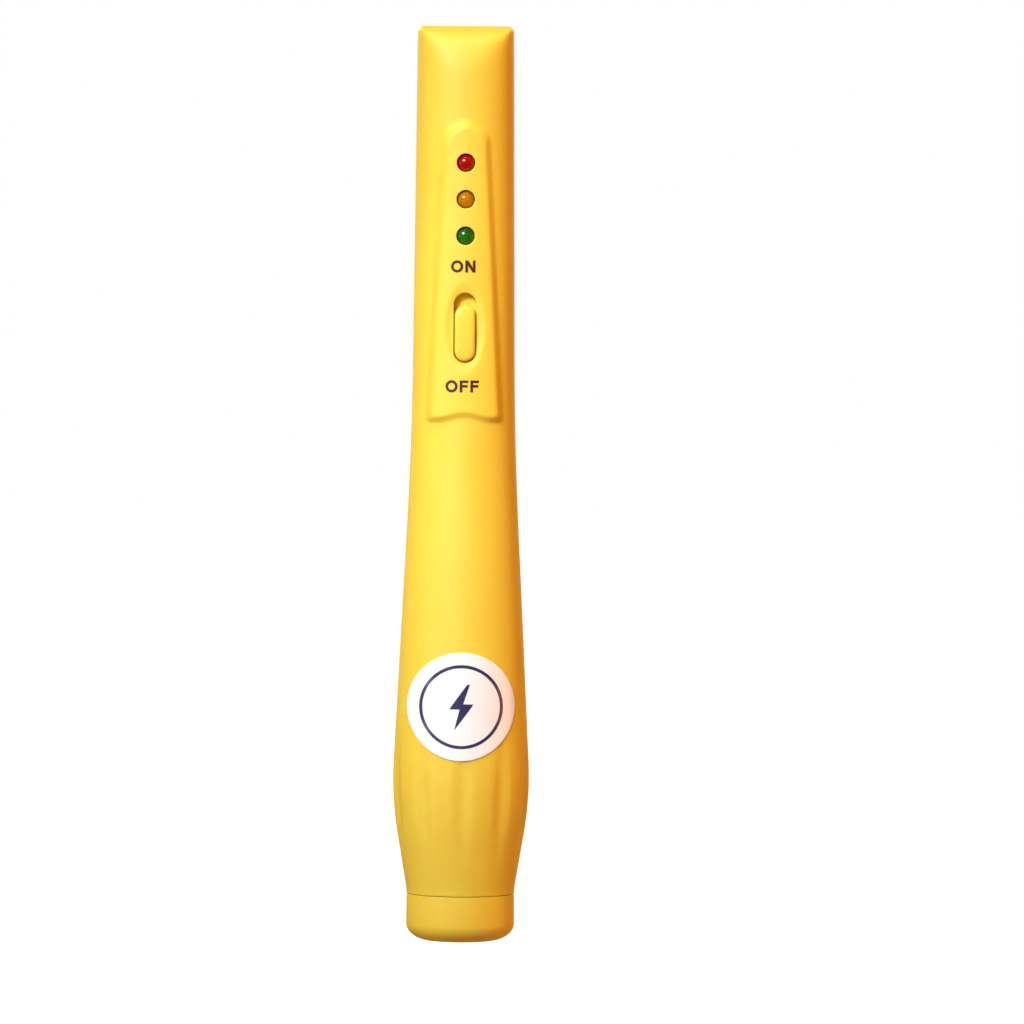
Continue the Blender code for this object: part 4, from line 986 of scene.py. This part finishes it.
film_white = printed_film("polyester_film_white", "F1F8FF", "EBF2FC", 0.4, 0.5, 0.16)
ink_maroon = printed_film("pad_print_ink_maroon", "47100A", "3C0C06", 0.45, 0.0)
ink_navy = printed_film("screen_ink_navy", "26336B", "1F2A5C", 0.4, 0.3)
print("film and inks", film_white.name, ink_maroon.name, ink_navy.name)

# %% [markdown]
# ## Lamp lenses
# LED lenses are cast in tinted epoxy with a little diffuser in it, so they look deep and glossy and
# glow softly where light passes through them.

# %% Tinted epoxy


def tinted_epoxy(name, base, deep, radius):
    """Epoxy: a colour in 2 mm clouds, with painted shade that deepens it towards the rim as seen from the
    camera, where the light's path is longer.
    """
    material, tree, place = new_material(name)
    facing = add(tree, "LayerWeight", {"Blend": 0.35})
    cloud = mixed(tree, wear(tree, place, 500.0, 0.0, 1.0), colour(base), colour(deep))
    # Painted shade: the deep colour is mixed in where the lens turns away from the camera.
    tint = mixed(tree, facing.outputs["Facing"], cloud, colour(deep))
    end_material(tree, {
        "Base Color": tint,
        "Roughness": 0.14,
        "IOR": 1.54,
        "Subsurface Weight": 0.5,
        "Subsurface Radius": radius,
        "Subsurface Scale": 0.0015,
    })
    return material


lens_materials = {
    "lamp_red": tinted_epoxy("epoxy_red", "BC0301", "9A0201", (1.0, 0.05, 0.03)),
    "lamp_amber": tinted_epoxy("epoxy_amber", "C48602", "AE7301", (1.0, 0.5, 0.03)),
    "lamp_green": tinted_epoxy("epoxy_green", "147A10", "0C5C0A", (0.1, 1.0, 0.1)),
}

print("lenses", [m.name for m in lens_materials.values()])

# %% [markdown]
# ## Metals
# Metals inside: nickel-plated steel for the screws, spring, legs and cell ends, and rolled brass
# for the contact strips. Rolling and drawing leave fine lines, drawn here as noise stretched along
# the piece.

# %% Metals


def worked_metal(name, base, deep, roughness, stretch, scale):
    """Metal with drawing lines: a noise of 0.7 to 0.8 mm, squeezed across the lines by stretch."""
    material, tree, place = new_material(name)
    lines = add(tree, "Mapping", {"Vector": place, "Scale": stretch}).outputs["Vector"]
    grain = add(tree, "TexNoise", {"Vector": lines, "Scale": scale, "Detail": 4.0, "Roughness": 0.6})
    bump = add(tree, "Bump", {"Height": grain.outputs["Fac"], "Strength": 0.25, "Distance": 0.00003})
    end_material(tree, {
        "Base Color": mixed(tree, wear(tree, place, 700.0, 0.0, 1.0), colour(base), colour(deep)),
        "Metallic": 1.0,
        "Roughness": wear(tree, place, 900.0, roughness - 0.06, roughness + 0.1),
        "Normal": bump.outputs["Normal"],
    })
    return material


nickel = worked_metal("steel_nickel_plated", "C9C4B8", "ADA79A", 0.28, (1.0, 1.0, 6.0), 1500.0)
brass = worked_metal("brass_rolled", "CFA85A", "B48A3F", 0.3, (6.0, 6.0, 0.6), 1200.0)
print("metals", nickel.name, brass.name)

# %% [markdown]
# ## Board, mouldings and jackets
# The rest is hidden unless the tester is taken apart: the printed board under its green solder
# mask, black moulded epoxy for the chips and the sounder, pale phenolic for the switch's base and
# the printed steel jacket of the cells.

# %% Mouldings


def plain_moulding(name, base, deep, roughness, scale, bump_by):
    """A filled plastic with a grain of 1000 / scale mm and slower drifts of colour and gloss."""
    material, tree, place = new_material(name)
    grain = add(tree, "TexNoise", {"Vector": place, "Scale": scale, "Detail": 3.0, "Roughness": 0.6})
    bump = add(tree, "Bump", {"Height": grain.outputs["Fac"], "Strength": bump_by, "Distance": 0.00004})
    end_material(tree, {
        "Base Color": mixed(tree, wear(tree, place, scale / 8, 0.0, 1.0), colour(base), colour(deep)),
        "Roughness": wear(tree, place, scale / 5, roughness - 0.05, roughness + 0.08),
        "IOR": 1.52,
        "Normal": bump.outputs["Normal"],
    })
    return material


epoxy_black = plain_moulding("epoxy_moulded_black", "1B1B1C", "242425", 0.5, 2200.0, 0.4)
phenolic = plain_moulding("phenolic_pale", "C9B98F", "B9A676", 0.55, 1500.0, 0.3)
print("mouldings", epoxy_black.name, phenolic.name)

# %% [markdown]
# The board's mask is a thin green lacquer over glass cloth, so the weave just shows. The cells'
# jackets are printed steel. Their bands stand at heights along the cell, so a colour ramp over the
# height draws them, and a second ramp says where the steel is bare.

# %% Board and cell jackets


def solder_mask(name):
    """Glass-epoxy board: green mask, with the glass cloth's 0.5 mm weave just showing."""
    material, tree, place = new_material(name)
    across = add(tree, "TexWave", {"Vector": place, "Scale": 310.0}, bands_direction="X")
    along = add(tree, "TexWave", {"Vector": place, "Scale": 310.0}, bands_direction="Z")
    weave = add(tree, "Math", {0: across.outputs["Fac"], 1: along.outputs["Fac"]}, operation="MULTIPLY")
    bump = add(tree, "Bump", {"Height": weave.outputs["Value"], "Strength": 0.2, "Distance": 0.00002})
    end_material(tree, {
        "Base Color": mixed(tree, weave.outputs["Value"], colour("145C33"), colour("1C6E3F")),
        "Roughness": 0.32,
        "IOR": 1.55,
        "Normal": bump.outputs["Normal"],
        "Coat Weight": 0.4,
        "Coat Roughness": 0.2,
    })
    return material


def cell_jacket(name, bottom, top):
    """A printed steel jacket: dark blue, with a bare steel end and a pale band near the button."""
    material, tree, place = new_material(name)
    high = add(tree, "SeparateXYZ", {"Vector": place}).outputs["Z"]
    stops = add(tree, "MapRange", {"Value": high, "From Min": bottom * MM, "From Max": top * MM})
    bands = add(tree, "ValToRGB", {"Fac": stops.outputs["Result"]})
    metal = add(tree, "ValToRGB", {"Fac": stops.outputs["Result"]})
    steel, ink, white = "B9B4AA", "23324F", "C9CCD2"
    rings = {
        bands: ((0.0, steel), (0.018, ink), (0.78, white), (0.83, ink), (0.957, steel)),
        metal: ((0.0, "FFFFFF"), (0.018, "000000"), (0.957, "FFFFFF")),
    }
    for node, stop_list in rings.items():
        node.color_ramp.interpolation = "CONSTANT"
        for i, (position, code) in enumerate(stop_list):
            element = node.color_ramp.elements[i] if i < 2 else node.color_ramp.elements.new(position)
            element.position, element.color = position, colour(code)
    end_material(tree, {
        "Base Color": bands.outputs["Color"],
        "Metallic": metal.outputs["Color"],
        "Roughness": wear(tree, place, 300.0, 0.24, 0.36),
    })
    return material


board_green = solder_mask("glass_epoxy_board")
jackets = [cell_jacket(n + "_jacket", box(n)[0][2], box(n)[1][2]) for n in ("cell_lower", "cell_upper")]
print(len(bpy.data.materials), "materials")

# %% [markdown]
# ## Putting it together
# Every piece gets its material, rides on the body that moves it, and stands for the measured piece
# that it replaces. The pieces that are hidden inside keep their measured shape.

# %% Dress, ride and replace


def place_piece(piece, material, body, slot, *replaced):
    """Gives a piece its material, the body that it rides on, and what it stands for. The slot is not used.
    """
    piece.data.materials.clear()
    piece.data.materials.append(material)
    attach(piece, body)
    if replaced:
        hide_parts(*replaced)


place_piece(front, yellow, "casing", "yellow_abs", "front_shell")
place_piece(rear, yellow, "casing", "yellow_abs", "rear_shell")
place_piece(cap, yellow, "tail_cap_set", "yellow_abs", "tail_cap")
place_piece(knob, knob_yellow, "slider", "yellow_abs", "switch_knob")
place_piece(label, film_white, "casing", "label_white", "round_label")
place_piece(on_print, ink_maroon, "casing", "label_white")
place_piece(off_print, ink_maroon, "casing", "label_white")
place_piece(ring_print, ink_navy, "casing", "label_white")
place_piece(bolt_print, ink_navy, "casing", "label_white")
for name, lens in lenses.items():
    place_piece(lens, lens_materials[name], "casing", name.replace("lamp_", "") + "_lens", name)
    place_piece(legs[name], nickel, "casing", "nickel_steel")
for n, screw in zip(screws, screw_objects):
    place_piece(screw, nickel, "casing", "nickel_steel", n)
for n, cell, jacket in zip(("cell_lower", "cell_upper"), cells, jackets):
    place_piece(cell, jacket, "casing", "cell_jacket", n)
place_piece(spring, nickel, "tail_cap_set", "nickel_steel", "battery_spring")

inside = {
    "circuit_board": board_green,
    "switch_base": phenolic,
    "switch_can": nickel,
    "switch_lever": epoxy_black,
    "logic_chip": epoxy_black,
    "sounder": epoxy_black,
    "transistor": epoxy_black,
    "capacitor": jackets[0],
    "resistor_1": epoxy_black,
    "resistor_2": epoxy_black,
    "resistor_3": epoxy_black,
    "resistor_4": epoxy_black,
    "sensor_plate": brass,
    "negative_strip": brass,
    "positive_contact": brass,
    "cap_contact": brass,
}
for n, material in inside.items():
    for slot in nodes[n].material_slots:
        slot.material = material
shown = [n for n, o in nodes.items() if not o.hide_render]
print("measured pieces still shown:", sorted(shown), "all dressed:", set(shown) == set(inside))

# %% [markdown]
# ## Floor and background
# The tester hangs upright over a pale floor in a bright white studio. The floor lies 1 mm below the
# reach of the tail cap, which is drawn off downwards by 20 mm. Seen directly, floor and background
# are an even white. Light that bounces off them is weaker and warmer, or it would wash out the
# yellow, so a Light Path node tells the two apart.

# %% Floor and background
CAP_TRAVEL = 20.0
t = np.linspace(0, math.tau, 65)[:-1]
rings = np.array([0, 60, 200, 600, 1800])[:, None]
floor_z = 0 * rings + 0 * t - CAP_TRAVEL - 1.0
floor_points = np.stack([rings * np.cos(t), rings * np.sin(t), floor_z], axis=-1)
floor = make_object("floor", floor_points, grid_faces(5, 64, closed=True))
floor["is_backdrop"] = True
pale, tree, place = new_material("pale_floor")
tone = mixed(tree, wear(tree, place, 3.0, 0.0, 1.0), colour("F7FBFF"), colour("F5F9FD"))
matt = add(tree, "BsdfDiffuse", {"Color": colour("988870")})
lit = add(tree, "Emission", {"Color": tone, "Strength": 1.02})
both = add(tree, "AddShader", {0: matt.outputs["BSDF"], 1: lit.outputs["Emission"]})
seen = add(tree, "LightPath").outputs["Is Camera Ray"]
either = add(tree, "MixShader", {"Fac": seen, 1: matt.outputs["BSDF"], 2: both.outputs["Shader"]})
add(tree, "OutputMaterial", {"Surface": either.outputs["Shader"]})
floor.data.materials.append(pale)

world = bpy.data.worlds.new("studio")
bpy.context.scene.world = world
world.use_nodes = True
sky = world.node_tree
sky.nodes.clear()
backdrop = add(sky, "Background", {"Color": colour("FFFFFF"), "Strength": 1.0})
glow = add(sky, "Background", {"Color": colour("FFAA3C"), "Strength": 0.34})
seen = add(sky, "LightPath").outputs["Is Camera Ray"]
ways = {1: glow.outputs["Background"], 2: backdrop.outputs["Background"]}
either = add(sky, "MixShader", {"Fac": seen, **ways})
add(sky, "OutputWorld", {"Surface": either.outputs["Shader"]})
print("floor at", floor_z[0, 0], "mm")

# %% [markdown]
# ## Light
# The main light is a spot in front, up to the left, and the right side is left to a weak amber
# glow, so the round casing falls away from yellow to orange. The spot's edge is soft and lies near
# the lower end, which is darker, and a weak second spot lifts the left side there. A light above
# keeps the curved top of the chisel tip from going dark. Two lights behind serve the rear view.

# %% Lights


def studio_light(name, kind, place, aim, power, tint, **settings):
    """A light at a place in metres, turned towards aim, with its power in watts."""
    light = bpy.data.lights.new(name, kind)
    light.energy = power
    light.color = colour(tint)[:3]
    for key, value in settings.items():
        setattr(light, key, value)
    made = bpy.data.objects.new(name, light)
    made.location = place
    made.rotation_euler = (Vector(aim) - Vector(place)).to_track_quat("-Z", "Y").to_euler()
    bpy.context.scene.collection.objects.link(made)


studio_light("key_lamp", "SPOT", (-0.25, -0.5, 0.4), (0, 0, 0.092), 19.8, "FFFDF8",
             spot_size=math.radians(23), spot_blend=0.45, shadow_soft_size=0.1)
studio_light("low_left", "SPOT", (-0.5, -0.25, 0.02), (0, 0, 0.02), 3.6, "FFFCEC",
             spot_size=math.radians(16), spot_blend=1.0, shadow_soft_size=0.1)
studio_light("top_fill", "AREA", (-0.1, -0.15, 0.75), (0, 0, 0.15), 1.9, "FFFDF8", size=0.3)
for name, x in (("back_left", -0.38), ("back_right", 0.38)):
    studio_light(name, "AREA", (x, 0.95, 0.4), (0, 0, 0.08), 4.2, "FFF8EA", size=0.4)
studio_light("right_glow", "AREA", (0.55, -0.1, 0.06), (0, 0, 0.06), 1.9, "FF9A12",
             shape="RECTANGLE", size=0.3, size_y=0.5)

# %% [markdown]
# ## Camera
# The camera stands 1.8 m away, at the height of the tip, and looks slightly down with a long lens.
# It is turned 1.3 degrees round the tester and rolled 0.4 degrees, and it aims 8.6 mm to the side,
# so that the tester stands left of the middle.

# %% Camera
DISTANCE, ASIDE = 1.8, 0.0086
yaw, roll = math.radians(1.3), math.radians(0.4)
view = bpy.data.cameras.new("view")
view.sensor_width = 36.0
view.lens = 362.2
view.clip_end = 20.0
camera = bpy.data.objects.new("view", view)
sideways = Vector((math.cos(yaw), -math.sin(yaw), 0)) * ASIDE
target = sideways + Vector((0, 0, 0.0751))
camera_place = sideways + Vector((-DISTANCE * math.sin(yaw), -DISTANCE * math.cos(yaw), 0.16))
look = (target - camera_place).to_track_quat("-Z", "Y")
camera.location = camera_place
camera.rotation_euler = (look @ Quaternion((0, 0, 1), roll)).to_euler()
bpy.context.scene.collection.objects.link(camera)
bpy.context.scene.camera = camera
bpy.context.scene.view_settings.view_transform = "Standard"
print("camera", [round(v, 4) for v in camera.location])

# %% [markdown]
# ## Measure and finish
# Last, the whole is measured. The drawn model should stay inside the box of the measured one.

# %% Measure and finish
bpy.context.view_layer.update()
low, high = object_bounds()
print("visual box in mm:", [round(v / MM, 2) for v in (*low, *high)])
